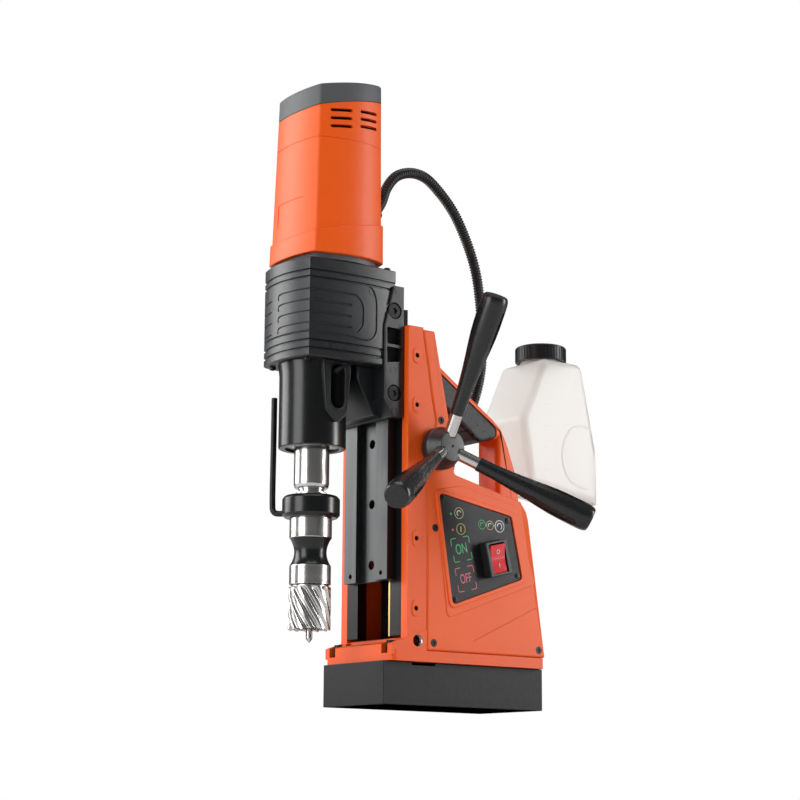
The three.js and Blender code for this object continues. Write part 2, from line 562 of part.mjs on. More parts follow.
// ---------- rear housing shells, handle and controls ----------
const HOUSING = [[WALL.seam, 53.4], ...SEAM, [-44, 376], [-20, 262], [-18.5, 232], [62, 214], [95, 206.5],
  [101.5, 199], [101.5, 53.4]];
const INSIDE = [[-22.2, 56.5], [98.5, 56.5], [98.5, 198], [94, 203.4], [61, 211], [-22.2, 229]];
const CASTING_ZONE = [[-75, 40], [-22.2, 40], [-22.2, 262], [-46.2, 374.4], [-75, 374.4]];
const HANDLE = [[-44, 375], [-13.6, 358], [13, 340], [47, 317.5], [68, 304], [78, 295.5], [87, 279],
  [98.6, 248], [102.2, 222], [102.2, 190], [70.5, 190], [70.5, 284], [69.8, 293.4],
  [67.5, 297], [-17, 352.4], [-38, 362]];
const GRIP = [[-17.4, 351.9], [67.2, 296.4], [69.4, 292.8], [69.6, 287], [66, 282.5], [48, 277.5],
  [40, 279.5], [30, 287.5], [2, 306.5], [-8, 311], [-13, 318]];
const PANEL = [[-39.4, 210.8], [54.8, 195], [68.9, 132.2], [-21.6, 100.4]];
const SHELL_SCREWS = [[-36, 285], [-43, 175.5], [-44.5, 61.2], [92.4, 60.9]];
const GLAND = { x: -33, y: 38, z: 219.6, lean: THREE.MathUtils.degToRad(12.6) };

// A polygon grown outwards from its centre by a distance at each corner, with its corners cut.
function panelOutline(grow, corner) {
  const centre = PANEL.reduce(([a, b], [y, z]) => [a + y / 4, b + z / 4], [0, 0]);
  const pts = PANEL.map(([y, z]) => {
    const v = new THREE.Vector2(y - centre[0], z - centre[1]);
    return v.setLength(v.length() + grow * 1.4).add(new THREE.Vector2(...centre));
  });
  const s = new THREE.Shape();
  pts.forEach((p, i) => {
    const before = pts[(i + 3) % 4];
    const after = pts[(i + 1) % 4];
    const from = p.clone().lerp(before, corner / p.distanceTo(before));
    const to = p.clone().lerp(after, corner / p.distanceTo(after));
    if (i === 0) s.moveTo(from.x, from.y);
    else s.lineTo(from.x, from.y);
    s.quadraticCurveTo(p.x, p.y, to.x, to.y);
  });
  return s;
}

function switchBlock(halfU, halfV, x0, x1) {
  return alongX([[-halfU, -halfV], [halfU, -halfV], [halfU, halfV], [-halfU, halfV]], x0, x1)
    .rotateX(PANEL_TILT).translate(0, SWITCH.y, SWITCH.z);
}

// The rear corner's slanting flat: the space beyond the plane through three points, moved in by a depth.
function rearCornerBlock(depth) {
  const a = new THREE.Vector3(56, 98, 61);
  const b = new THREE.Vector3(56, 69, 207);
  const c = new THREE.Vector3(28, 102, 207);
  const normal = b.clone().sub(a).cross(c.clone().sub(a)).normalize();
  if (normal.y < 0) normal.negate();
  const block = new THREE.BoxGeometry(300, 300, 100).translate(0, 0, 50);
  block.applyQuaternion(new THREE.Quaternion().setFromUnitVectors(new THREE.Vector3(0, 0, 1), normal));
  return block.translate(a.x - depth * normal.x, a.y - depth * normal.y, a.z - depth * normal.z);
}

function rightShell() {
  const tools = [
    alongX(CASTING_ZONE, -5, 50.3),
    cut(alongX(INSIDE, -5, SHELL.outerX - SHELL.wall), rearCornerBlock(SHELL.wall)),
    rearCornerBlock(0),
    holeX(10, 48, 60, FEED.y, FEED.z, 24)];
  // The rack rises through the opening at the housing's top edge.
  tools.push(box(-RACK.halfX - 1, RACK.halfX + 1, -70, RACK_TIP_Y + 1, 370, 380));
  const body = cut(alongX(HOUSING, GAP / 2, SHELL.outerX), ...tools);
  return join(body, alongX(HANDLE, GAP / 2, 17));
}

const mirrored = (geometry) => facingOut(geometry.clone().scale(-1, 1, 1));

function shells() {
  const half = rightShell();
  const rightTools = [
    alongX(panelOutline(0.5, 5), 54.7, 60, 3),
    alongX(panelOutline(-7, 7), 50, 60, 3)];
  for (const [y, z] of SHELL_SCREWS) rightTools.push(holeX(4, 54, 60, y, z, 12));
  add("right_housing_shell", cut(half, ...rightTools), ORANGE);

  const glandHole = at(cylinder(7.9, -12, 5, 20).rotateX(-GLAND.lean), GLAND.x, GLAND.y, GLAND.z);
  const mainsHole = at(yAxis(cylinder(6.3, 90, 110, 16)), -30, 0, 78);
  add("left_housing_shell", cut(mirrored(half), glandHole, mainsHole), ORANGE);
  add("handle_grip", alongX(GRIP, -18.5, 18.5), RUBBER);

  SHELL_SCREWS.forEach(([y, z], i) => {
    const screw = add("shell_screw_" + (i + 1), xAxis(socketScrew(3.6, 1.4, 0, 0, 1.9)), BLACK_STEEL);
    screw.position.set(55.7, y, z);
  });
  const glandBody = turned([[0, -8], [7.5, -8], [7.5, 0.3], [11, 0.3], [11, 7], [9.5, 9],
    [9.5, 19], [8.6, 20.5], [0, 20.5]], 14);
  const gland = add("conduit_gland_lower", cut(glandBody, cylinder(5.9, 10, 30, 14)), BLACK_PLASTIC);
  gland.position.set(GLAND.x, GLAND.y, GLAND.z);
  gland.rotation.x = -GLAND.lean;
  const mains = turned([[0, -6], [6, -6], [6, 0.3], [10, 0.3], [10, 7], [8.5, 9], [8.5, 17], [7, 20],
    [0, 20]], 14);
  const inlet = add("mains_cable_gland", yAxis(cut(mains, cylinder(4, 4, 30, 14))), BLACK_PLASTIC);
  inlet.position.set(-30, 101.5, 78);
}

function controls() {
  const plate = cut(alongX(panelOutline(0, 5), 54.95, 56.6, 3), switchBlock(14.7, 18.1, 50, 60));
  add("control_panel", plate, BLACK_PLASTIC);
  const bezel = cut(switchBlock(SWITCH.halfU, SWITCH.halfV, 46, SWITCH.front),
    switchBlock(10.2, 15.4, 49, SWITCH.front + 2));
  add("switch_bezel", bezel, BLACK_PLASTIC);
  const face = new THREE.Group();
  face.position.set(SWITCH.x, SWITCH.y, SWITCH.z);
  face.rotation.x = PANEL_TILT;
  drill.add(face);
  // Two flats that meet in a shallow valley, over a narrower foot; drawn in X and Z.
  const wedge = [[-7, -6], [7, -6], [14.4, 3.2], [14.4, 5.4], [0, 3.4], [-14.4, 5.4], [-14.4, 3.2]]
    .map(([v, x]) => [x, v]);
  const tilt = THREE.MathUtils.degToRad(7);
  const shape = new THREE.ExtrudeGeometry(outline(wedge), { depth: 19, bevelEnabled: false })
    .rotateX(Math.PI / 2).translate(0, 9.5, 0).rotateY(tilt);
  add("power_rocker", facingOut(shape), RED_LENS, face);
  add("circuit_board", box(36, 37.8, 0, 66, 92, 176), GREEN_BOARD);
}

// ---------- conduit between motor and housing ----------
const CONDUIT_R = 5.2;
const ELBOW = { y: -93.9, z: 494, run: 0.6, rise: 0.8 };
const CONDUIT = [[0, -84.6, 501.2], [0, -79.2, 508.4], [0, -72, 519.5], [0, -65, 537], [0, -52.6, 552],
  [-1, -32.9, 560], [-3, -12.2, 559.5], [-7, 10.3, 549], [-11, 34, 530.5], [-16, 56, 503],
  [-21, 72.5, 474], [-25, 82, 441], [-28, 87, 405], [-31, 88, 368], [-33, 80, 334],
  [-33.5, 60, 294], [-33.2, 48, 264], [-33, 42.2, 238.6]];

function conduit() {
  add("conduit", tube(CONDUIT, CONDUIT_R, 34, 10), BLACK_PLASTIC);
  const lean = Math.atan2(ELBOW.rise, ELBOW.run);
  const tilted = (r, from, to) => at(yAxis(cylinder(r, from, to, 14)).rotateX(lean), 0, ELBOW.y + 4, ELBOW.z);
  const flange = at(yAxis(cylinder(10, 0, 6, 16)), 0, ELBOW.y, ELBOW.z);
  const neck = common(tilted(8.4, -10, 17), box(-20, 20, ELBOW.y, ELBOW.y + 60, 450, 560));
  add("conduit_gland_upper", cut(join(flange, neck), tilted(5.6, 6, 30)), BLACK_PLASTIC);
}

// ---------- coolant bottle ----------
const BOTTLE_SIDE = [[131, 245], [119.4, 316.4], [149, 381], [154, 386], [205, 386], [210, 381],
  [243, 233], [237, 228.5]];

function insetSide(d) {
  const pts = BOTTLE_SIDE.map((p) => new THREE.Vector2(...p));
  const centre = new THREE.Vector2(175, 300);
  return pts.map((p) => {
    const v = p.clone().sub(centre);
    return v.setLength(v.length() - d * 1.3).add(centre);
  }).map((p) => [p.x, p.y]);
}

function bottleBlock(d) {
  const side = alongX(insetSide(d), BOTTLE.x0 + d, BOTTLE.x1 - d);
  const plan = new THREE.Shape();
  const [x0, x1, y0, y1, c] = [BOTTLE.x0 + d, BOTTLE.x1 - d, 100 + d, 246 - d, 22];
  plan.moveTo(x0, y0);
  plan.lineTo(x1, y0);
  plan.lineTo(x1, y1 - c);
  plan.lineTo(x1 - c, y1);
  plan.lineTo(x0 + c, y1);
  plan.lineTo(x0, y1 - c);
  return common(side, alongZ(plan, 200, 420));
}

function bottle() {
  const x = (BOTTLE.x0 + BOTTLE.x1) / 2;
  const neck = at(turned([[0, 380], [23, 380], [23, 402], [0, 402]], 24), x, BOTTLE.neckY, 0);
  const bore = at(cylinder(20.5, 375, 410, 24), x, BOTTLE.neckY, 0);
  add("coolant_bottle", cut(join(bottleBlock(0), neck), bottleBlock(BOTTLE.wall), bore), TANK);
  const cap = turned([[23.4, 389], [28.5, 389], [28.5, 405], [27.3, 406.2], [0, 406.2], [0, 402.6],
    [23.4, 402.6],
    [23.4, 389]], 24);
  add("bottle_cap", at(cap, x, BOTTLE.neckY, 0), BLACK_PLASTIC);

  // A bent steel holder: a leg on the housing's rear, a leaning back plate and a lip under the bottle's edge.
  const t = 2.5;
  const profile = [[101.9, 150], [101.9, 205], [118, 243.6], [124, 243.6], [130.2, 243.6], [130.3, 242.8],
    [143, 240.6],
    [143, 238], [129, 240.4], [119.6, 240.4], [101.9 + t, 203.4], [101.9 + t, 150]];
  add("bottle_bracket", alongX(profile, -52, -18), MAGNET_PAINT);
}

magnetBase();
frameCasting();
rails();
slideAndRack();
feed();
gearboxCasting();
spindleNose();
spindleAndTool();
coolantPipe();
motor();
shells();
controls();
conduit();
bottle();

export default drill;
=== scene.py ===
"""Magnetic drill press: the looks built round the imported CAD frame.

Blender works in metres; shapes here are written in millimetres in the row frame and scaled by MM.
"""
import json
from math import cos, dist, pi, radians, sin, tan

import bmesh
import bpy
from mathutils import Matrix, Vector


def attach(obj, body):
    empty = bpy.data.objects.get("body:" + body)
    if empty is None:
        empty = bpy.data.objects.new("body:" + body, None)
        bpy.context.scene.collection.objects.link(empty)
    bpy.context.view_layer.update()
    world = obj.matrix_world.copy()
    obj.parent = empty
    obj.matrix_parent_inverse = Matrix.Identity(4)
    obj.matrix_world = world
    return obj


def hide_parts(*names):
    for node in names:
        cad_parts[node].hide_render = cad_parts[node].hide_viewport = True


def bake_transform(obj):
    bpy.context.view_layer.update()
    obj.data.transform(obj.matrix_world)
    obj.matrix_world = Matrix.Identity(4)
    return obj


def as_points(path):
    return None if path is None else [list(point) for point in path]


MM = 0.001
SPINDLE_Y = -155
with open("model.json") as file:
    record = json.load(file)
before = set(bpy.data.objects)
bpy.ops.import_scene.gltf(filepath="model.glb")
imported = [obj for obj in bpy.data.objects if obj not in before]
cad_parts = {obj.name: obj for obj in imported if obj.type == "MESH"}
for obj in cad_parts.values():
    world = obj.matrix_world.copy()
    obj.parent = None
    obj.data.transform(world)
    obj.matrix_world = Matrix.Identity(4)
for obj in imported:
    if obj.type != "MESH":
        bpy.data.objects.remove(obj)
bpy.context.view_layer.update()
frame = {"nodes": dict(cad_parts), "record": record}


def add_object(name, data):
    obj = bpy.data.objects.new(name, data)
    bpy.context.scene.collection.objects.link(obj)
    return obj


# ---------- camera ----------
CAMERA_AT = (1621.01, -1281.91, -96.86)
AZIMUTH, PITCH, ROLL = radians(52.67), radians(11.38), radians(0.38)
FOCAL_PX, IMAGE_PX, SENSOR_MM = 2020.38, 800, 36


def make_camera():
    forward = Vector((-sin(AZIMUTH) * cos(PITCH), cos(AZIMUTH) * cos(PITCH), sin(PITCH)))
    level = Vector((cos(AZIMUTH), sin(AZIMUTH), 0))
    up = level.cross(forward)
    right = cos(ROLL) * level + sin(ROLL) * up
    up = -sin(ROLL) * level + cos(ROLL) * up
    data = bpy.data.cameras.new("camera")
    data.sensor_width = SENSOR_MM
    data.lens = FOCAL_PX / IMAGE_PX * SENSOR_MM
    data.clip_end = 100
    camera = add_object("camera", data)
    turn = Matrix((right, up, -forward)).transposed().to_4x4()
    camera.matrix_world = Matrix.Translation(Vector(CAMERA_AT) * MM) @ turn
    bpy.context.scene.camera = camera


make_camera()


# ---------- materials ----------
def noise(tree, vector, scale, detail=3.0):
    node = tree.nodes.new("ShaderNodeTexNoise")
    node.inputs["Scale"].default_value = scale
    node.inputs["Detail"].default_value = detail
    tree.links.new(vector, node.inputs["Vector"])
    return node.outputs["Fac"]


def shader(name, color, roughness, metallic=0.0, vary=0.08, vary_scale=45, rough_vary=0.08, bump=0.1,
        bump_scale=900, depth=0.0002, stretch=(1, 1, 1), **sockets):
    """A surface whose colour and roughness drift a little and whose grain is a bump. Scales are per metre."""
    mat = bpy.data.materials.new(name)
    mat.use_nodes = True
    tree = mat.node_tree
    bsdf = tree.nodes["Principled BSDF"]
    coords = tree.nodes.new("ShaderNodeTexCoord")
    mapping = tree.nodes.new("ShaderNodeMapping")
    mapping.inputs["Scale"].default_value = stretch
    tree.links.new(coords.outputs["Object"], mapping.inputs["Vector"])
    vector = mapping.outputs["Vector"]

    drift = noise(tree, vector, vary_scale)
    mix = tree.nodes.new("ShaderNodeMix")
    mix.data_type = "RGBA"
    mix.inputs["A"].default_value = [c * (1 - vary) for c in color] + [1]
    mix.inputs["B"].default_value = [min(1, c * (1 + vary)) for c in color] + [1]
    tree.links.new(drift, mix.inputs["Factor"])
    tree.links.new(mix.outputs["Result"], bsdf.inputs["Base Color"])

    spread = tree.nodes.new("ShaderNodeMapRange")
    spread.inputs["To Min"].default_value = max(0.02, roughness - rough_vary)
    spread.inputs["To Max"].default_value = roughness + rough_vary
    tree.links.new(noise(tree, vector, vary_scale * 5), spread.inputs["Value"])
    tree.links.new(spread.outputs["Result"], bsdf.inputs["Roughness"])

    if bump:
        grain = tree.nodes.new("ShaderNodeBump")
        grain.inputs["Strength"].default_value = bump
        grain.inputs["Distance"].default_value = depth
        tree.links.new(noise(tree, vector, bump_scale, 2.0), grain.inputs["Height"])
        tree.links.new(grain.outputs["Normal"], bsdf.inputs["Normal"])
    bsdf.inputs["Metallic"].default_value = metallic
    bsdf.inputs["Specular IOR Level"].default_value = 0.4
    for socket, value in sockets.items():
        bsdf.inputs[socket.replace("_", " ")].default_value = value
    return mat


def look(*values, **options):
    """What shader is given for one material, after its name."""
    return values, options


ORANGE = (0.80, 0.098, 0.006)
LOOKS = {
    "orange_plastic": look(ORANGE, 0.42, vary=0.03, bump=0.12, bump_scale=1400, Specular_IOR_Level=0.3),
    "orange_paint": look((0.79, 0.092, 0.006), 0.4, vary=0.04, bump=0.25, bump_scale=700,
        Specular_IOR_Level=0.3),
    "black_casting": look((0.0115, 0.0127, 0.015), 0.36, 0.1, vary=0.15, bump=0.5, bump_scale=1100,
        Specular_IOR_Level=0.6),
    "nose_gloss": look((0.006, 0.0065, 0.007), 0.24, vary=0.15, bump=0.16, bump_scale=500, rough_vary=0.05),
    "black_plastic": look((0.012, 0.012, 0.013), 0.38, vary=0.2, bump=0.2),
    "panel_film": look((0.006, 0.0065, 0.0075), 0.42, vary=0.1, bump=0.3, bump_scale=2500,
        Specular_IOR_Level=0.25),
    "grip_gloss": look((0.012, 0.012, 0.013), 0.27, vary=0.2, bump=0.05, bump_scale=300),
    "grey_plastic": look((0.075, 0.079, 0.085), 0.5, vary=0.06, bump=0.4, bump_scale=1300),
    "magnet_paint": look((0.011, 0.0115, 0.0125), 0.5, vary=0.12, bump=0.3, bump_scale=600,
        Specular_IOR_Level=0.25),
    "slide_steel": look((0.1, 0.103, 0.104), 0.46, 1.0, vary=0.12, vary_scale=90, bump=0.12,
        bump_scale=1500, stretch=(1, 1, 0.03)),
    "bright_steel": look((0.56, 0.55, 0.54), 0.23, 1.0, vary=0.05, bump=0.05, bump_scale=2500,
        stretch=(0.04, 0.04, 1), rough_vary=0.05),
    "black_steel": look((0.014, 0.014, 0.015), 0.33, 0.6, vary=0.2, bump=0.12, bump_scale=900),
    "brass": look((0.62, 0.42, 0.16), 0.3, 1.0),
    "copper_winding": look((0.5, 0.2, 0.07), 0.4, 1.0, bump=0.6, bump_scale=1200, stretch=(1, 1, 0.2)),
    "potting": look((0.05, 0.03, 0.02), 0.35, vary=0.3),
    "board_green": look((0.02, 0.12, 0.04), 0.35, vary=0.3),
    "rubber": look((0.013, 0.012, 0.012), 0.5, vary=0.2, bump=0.5, bump_scale=900),
    "red_lens": look((0.78, 0.006, 0.012), 0.16, vary=0.1, bump=0.03, Transmission_Weight=0.15,
        Coat_Weight=0.5),
    "tank_plastic": look((0.96, 0.945, 0.92), 0.38, vary=0.02, vary_scale=18, bump=0.18, bump_scale=260,
        Transmission_Weight=0.75, IOR=1.35),
    "print_white": look((0.6, 0.62, 0.62), 0.5),
    "print_green": look((0.05, 0.42, 0.16), 0.5),
    "print_red": look((0.6, 0.12, 0.16), 0.5),
    "print_yellow": look((0.5, 0.42, 0.12), 0.5),
}
MATERIALS = {name: shader(name, *values, **options) for name, (values, options) in LOOKS.items()}
SLOT_OF = {"panel_film": "black_plastic"}


# ---------- mesh helpers ----------
def new_object(name, verts, faces):
    """A mesh object from points in millimetres; consistently wound faces are turned outwards."""
    points = [Vector(v) * MM for v in verts]
    volume = sum(points[f[0]].dot(points[f[i]].cross(points[f[i + 1]])) for f in faces
        for i in range(1, len(f) - 1))
    mesh = bpy.data.meshes.new(name)
    mesh.from_pydata(points, [], [f[::-1] for f in faces] if volume < 0 else faces)
    return add_object(name, mesh)


def loft(name, rings, closed=False):
    """A skin over rings of points; closed joins the last ring to the first."""
    n = len(rings[0])
    verts = [p for ring in rings for p in ring]
    pairs = list(zip(range(len(rings)), range(1, len(rings)))) + ([(len(rings) - 1, 0)] if closed else [])
    faces = [[a * n + i, a * n + (i + 1) % n, b * n + (i + 1) % n, b * n + i] for a, b in pairs
        for i in range(n)]
    if not closed:
        faces += [list(range(n))[::-1], list(range((len(rings) - 1) * n, len(rings) * n))]
    return new_object(name, verts, faces)


PLACE = {
    "x": lambda p, a: (a, p[0], p[1]),
    "y": lambda p, a: (p[0], a, p[1]),
    "z": lambda p, a: (p[0], p[1], a),
}


def prism(name, outline, low, high, axis="x"):
    """An outline pushed along an axis: (y, z) points for x, (x, z) for y, (x, y) for z."""
    return loft(name, [[PLACE[axis](p, a) for p in outline] for a in (min(low, high), max(low, high))])


def inset(points, distance):
    """An outline moved inwards by a distance, its corners mitred."""
    pts = [Vector(p) for p in points]
    pts = [p for i, p in enumerate(pts) if (p - pts[i - 1]).length > 1e-3]
    turn = 1 if sum(a.x * b.y - a.y * b.x for a, b in zip(pts, pts[1:] + pts[:1])) > 0 else -1
    out = []
    for i, p in enumerate(pts):
        before, after = (p - pts[i - 1]).normalized(), (pts[(i + 1) % len(pts)] - p).normalized()
        n1, n2 = (Vector((-e.y, e.x)) * turn for e in (before, after))
        out.append(tuple(p + (n1 + n2) * (distance / max(0.35, 1 + n1.dot(n2)))))
    return out


def soft_prism(name, outline, low, high, radius, axis="x", steps=4, ends=(1, 1)):
    """A prism whose end faces meet its sides in a rounded edge of the radius."""
    rings = []
    for end, at, inward in ((0, low, 1), (1, high, -1)):
        levels = [(radius * (1 - sin(pi / 2 * k / steps)), radius * (1 - cos(pi / 2 * k / steps)))
            for k in range(steps + 1)] if ends[end] else [(0, 0)]
        made = [[PLACE[axis](p, at + inward * along) for p in inset(outline, offset)] for offset,
            along in levels]
        rings += made if end == 0 else made[::-1]
    return loft(name, rings)


def block(name, x0, x1, y0, y1, z0, z1):
    return prism(name, [(x0, y0), (x1, y0), (x1, y1), (x0, y1)], z0, z1, "z")


AXIS_TURN = {
    "z": Matrix.Identity(4),
    "x": Matrix.Rotation(pi / 2, 4, "Y"),
    "y": Matrix.Rotation(-pi / 2, 4, "X"),
}


def lathe(name, profile, centre=(0, 0, 0), axis="z", segments=64, turn=None):
    """A turned body from (radius, height) points, which start and end on the axis or close on themselves."""
    turn = turn or AXIS_TURN[axis]
    closed = profile[0] == profile[-1]
    points = profile[:-1] if closed else profile
    verts, rows = [], []
    for r, h in points:
        count = 1 if r == 0 else segments
        rows.append([len(verts) + i for i in range(count)])
        for i in range(count):
            a = 2 * pi * i / segments
            p = turn @ Vector((r * cos(a), r * sin(a), h))
            verts.append(tuple(p + Vector(centre)))
    faces = []
    pairs = list(zip(rows, rows[1:])) + ([(rows[-1], rows[0])] if closed else [])
    for a, b in pairs:
        for i in range(segments):
            j = (i + 1) % segments
            face = [a[i % len(a)], a[j % len(a)], b[j % len(b)], b[i % len(b)]]
            face = list(dict.fromkeys(face))
            if len(face) > 2:
                faces.append(face)
    return new_object(name, verts, faces)


def rod(r, low, high):
    """The profile of a plain cylinder."""
    return [(0, low), (r, low), (r, high), (0, high)]


def ring(inner, outer, low, high):
    """The profile of a ring of square section."""
    return [(inner, low), (outer, low), (outer, high), (inner, high), (inner, low)]


def side_lathe(name, profile, y, z, side, segments=64):
    """A turned body through (y, z) whose axis runs out of the machine's right (1) or left (-1) side."""
    return lathe(name, profile, (0, y, z), segments=segments, turn=Matrix.Rotation(side * pi / 2, 4, "Y"))


def paint(obj, *materials):
    for material in materials:
        obj.data.materials.append(MATERIALS[material])
    return obj


def apply_modifiers(obj):
    bpy.context.view_layer.update()
    graph = bpy.context.evaluated_depsgraph_get()
    mesh = bpy.data.meshes.new_from_object(obj.evaluated_get(graph))
    old = obj.data
    obj.modifiers.clear()
    obj.data = mesh
    bpy.data.meshes.remove(old)


def combine(obj, others, operation="DIFFERENCE"):
    """A boolean of obj with each of the others, which are then removed."""
    for other in others:
        modifier = obj.modifiers.new("boolean", "BOOLEAN")
        modifier.operation = operation
        modifier.solver = "MANIFOLD"
        modifier.object = other
    apply_modifiers(obj)
    for other in others:
        bpy.data.objects.remove(other)
    return obj


def cut(obj, *others):
    return combine(obj, others)


def fuse(obj, *others):
    return combine(obj, others, "UNION")


def merge(name, objects):
    """Several loose objects as one mesh object, each keeping its materials."""
    bm = bmesh.new()
    materials = []
    for obj in objects:
        start = len(bm.faces)
        bm.from_mesh(obj.data)
        bm.faces.ensure_lookup_table()
        offset = len(materials)
        materials += list(obj.data.materials)
        for face in bm.faces[start:]:
            face.material_index += offset
    mesh = bpy.data.meshes.new(name)
    bm.to_mesh(mesh)
    bm.free()
    for mat in materials:
        mesh.materials.append(mat)
    for obj in objects:
        bpy.data.objects.remove(obj)
    return add_object(name, mesh)


def bevel(obj, width, segments=2, angle=35):
    """Rounds every edge sharper than the angle."""
    modifier = obj.modifiers.new("bevel", "BEVEL")
    modifier.width = width * MM
    modifier.segments = segments
    modifier.limit_method = "ANGLE"
    modifier.angle_limit = radians(angle)
    modifier.miter_outer = "MITER_ARC"
    apply_modifiers(obj)
    return obj


FLAT_WITHIN = 0.5  # degrees


def tidy(obj):
    """Joins split vertices and merges the triangles of each flat face."""
    bm = bmesh.new()
    bm.from_mesh(obj.data)
    bmesh.ops.remove_doubles(bm, verts=bm.verts, dist=2e-6)
    bmesh.ops.dissolve_limit(bm, angle_limit=radians(FLAT_WITHIN), verts=bm.verts, edges=bm.edges)
    bm.to_mesh(obj.data)
    bm.free()
    return obj


def smooth(obj, angle=38):
    mesh = obj.data
    mesh.polygons.foreach_set("use_smooth", [True] * len(mesh.polygons))
    mesh.set_sharp_from_angle(angle=radians(angle))
    modifier = obj.modifiers.new("normals", "WEIGHTED_NORMAL")
    modifier.keep_sharp = True
    modifier.weight = 60
    apply_modifiers(obj)
    return obj


def dress(obj, body, material, replaces=(), angle=38):
    """Gives a finished piece its material and body, smooths it and hides the CAD nodes it replaces."""
    if not any(obj.data.materials):
        obj.data.materials.clear()
        paint(obj, material)
    if obj.type == "MESH":
        smooth(obj, angle)
    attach(obj, body)
    SLOT_OF.get(material, material)
    if replaces:
        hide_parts(*([replaces] if isinstance(replaces, str) else replaces))
    return obj


BODY_OF = {node: body for body, nodes in frame["record"]["behaviour"]["bodies"].items() for node in nodes}
SLOT_OF_NODE = {s["node"]: s["material_slot"] for s in frame["record"]["subparts"]}


def refine(node, material=None, width=0.4, segments=2):
    """A CAD node's own shape with its flat faces merged and its edges rounded."""
    mesh = frame["nodes"][node].data.copy()
    mesh.materials.clear()
    obj = add_object(node + "_fine", mesh)
    tidy(obj)
    if width:
        bevel(obj, width, segments)
    return dress(obj, BODY_OF[node], material or SLOT_OF_NODE[node], node)


# ---------- outlines ----------
def bezier(p0, c, p1, t):
    return tuple((1 - t) ** 2 * a + 2 * t * (1 - t) * b + t * t * d for a, b, d in zip(p0, c, p1))


def curved_outline(sides, radii, counts, corner_steps=5):
    """Bowed sides, each (start, control, end) in so many steps; each starts at a corner of its own radius."""
    points = []
    for k, (start, control, end) in enumerate(sides):
        length = dist(start, end)
        nxt = sides[(k + 1) % len(sides)]
        r = min(radii[k], length * 0.45)
        r_end = min(radii[(k + 1) % len(sides)], length * 0.45, dist(nxt[0], nxt[2]) * 0.45)
        t0, t1 = r / length, 1 - r_end / length
        steps = counts[k]
        points += [bezier(start, control, end, t0 + (t1 - t0) * i / steps) for i in range(steps + 1)]
        leave = bezier(start, control, end, t1)
        meet = bezier(*nxt, r_end / dist(nxt[0], nxt[2]))
        points += [bezier(leave, end, meet, i / corner_steps) for i in range(1, corner_steps)]
    return points


def rounded(points, radius, steps=5):
    """A polygon with each corner rounded; radius may be one number or one for each corner."""
    n = len(points)
    out = []
    for i, p in enumerate(points):
        r = radius[i] if isinstance(radius, (list, tuple)) else radius
        a, b = Vector(points[i - 1]), Vector(points[(i + 1) % n])
        p = Vector(p)
        if r <= 0:
            out.append(tuple(p))
            continue
        go_a, go_b = (a - p), (b - p)
        half = go_a.angle(go_b) / 2
        reach = min(r / tan(half), go_a.length * 0.48, go_b.length * 0.48)
        start, end = p + go_a.normalized() * reach, p + go_b.normalized() * reach
        out += [bezier(tuple(start), tuple(p), tuple(end), k / steps) for k in range(steps + 1)]
    return out


def obround(u, v, half_u, half_v, steps=8, tilt=0.0):
    """A slot outline round (u, v): its ends are half circles on the longer way."""
    r = min(half_u, half_v)
    long_u = half_u >= half_v
    points = []
    for end in (1, -1):
        for i in range(steps + 1):
            a = -pi / 2 + pi * i / steps + (0 if end > 0 else pi)
            du, dv = r * cos(a), r * sin(a)
            du += end * (half_u - r) if long_u else 0
            if not long_u:
                du, dv = -dv, du + end * (half_v - r)
            points.append((u + du * cos(tilt) - dv * sin(tilt), v + du * sin(tilt) + dv * cos(tilt)))
    return points


def spline(points, spacing):
    """Evenly spaced points on a centripetal Catmull-Rom curve."""
    pts = [Vector(p) for p in points]
    pts = [2 * pts[0] - pts[1]] + pts + [2 * pts[-1] - pts[-2]]
    dense = []
    for i in range(1, len(pts) - 2):
        p = pts[i - 1:i + 3]
        t = [0.0]
        for a, b in zip(p, p[1:]):
            t.append(t[-1] + max(1e-6, (b - a).length ** 0.5))
        for k in range(24):
            s = t[1] + (t[2] - t[1]) * k / 24
            a = [p[j] * ((t[j + 1] - s) / (t[j + 1] - t[j])) + p[j + 1] * ((s - t[j]) / (t[j + 1] - t[j]))
                for j in range(3)]
            b = [a[j] * ((t[j + 2] - s) / (t[j + 2] - t[j])) + a[j + 1] * ((s - t[j]) / (t[j + 2] - t[j]))
                for j in range(2)]
            dense.append(b[0] * ((t[2] - s) / (t[2] - t[1])) + b[1] * ((s - t[1]) / (t[2] - t[1])))
    dense.append(pts[-2])
    total = sum((b - a).length for a, b in zip(dense, dense[1:]))
    count = max(2, round(total / spacing))
    out, run, k = [dense[0]], 0.0, 0
    for i in range(1, count):
        want = total * i / count
        while run + (dense[k + 1] - dense[k]).length < want:
            run += (dense[k + 1] - dense[k]).length
            k += 1
        step = (dense[k + 1] - dense[k]).length
        out.append(dense[k].lerp(dense[k + 1], (want - run) / step))
    return out + [dense[-1]]


def sweep(name, path, radii, sides=12):
    """A round tube along a path; radii repeat along it."""
    side = None
    rings = []
    for i, p in enumerate(path):
        along = (path[min(i + 1, len(path) - 1)] - path[max(i - 1, 0)]).normalized()
        side = (side or along.orthogonal())
        side = (side - along * side.dot(along)).normalized()
        other = along.cross(side)
        r = radii[i % len(radii)]
        rings.append([tuple(p + r * (cos(2 * pi * k / sides) * side + sin(2 * pi * k / sides) * other))
            for k in range(sides)])
    return loft(name, rings)


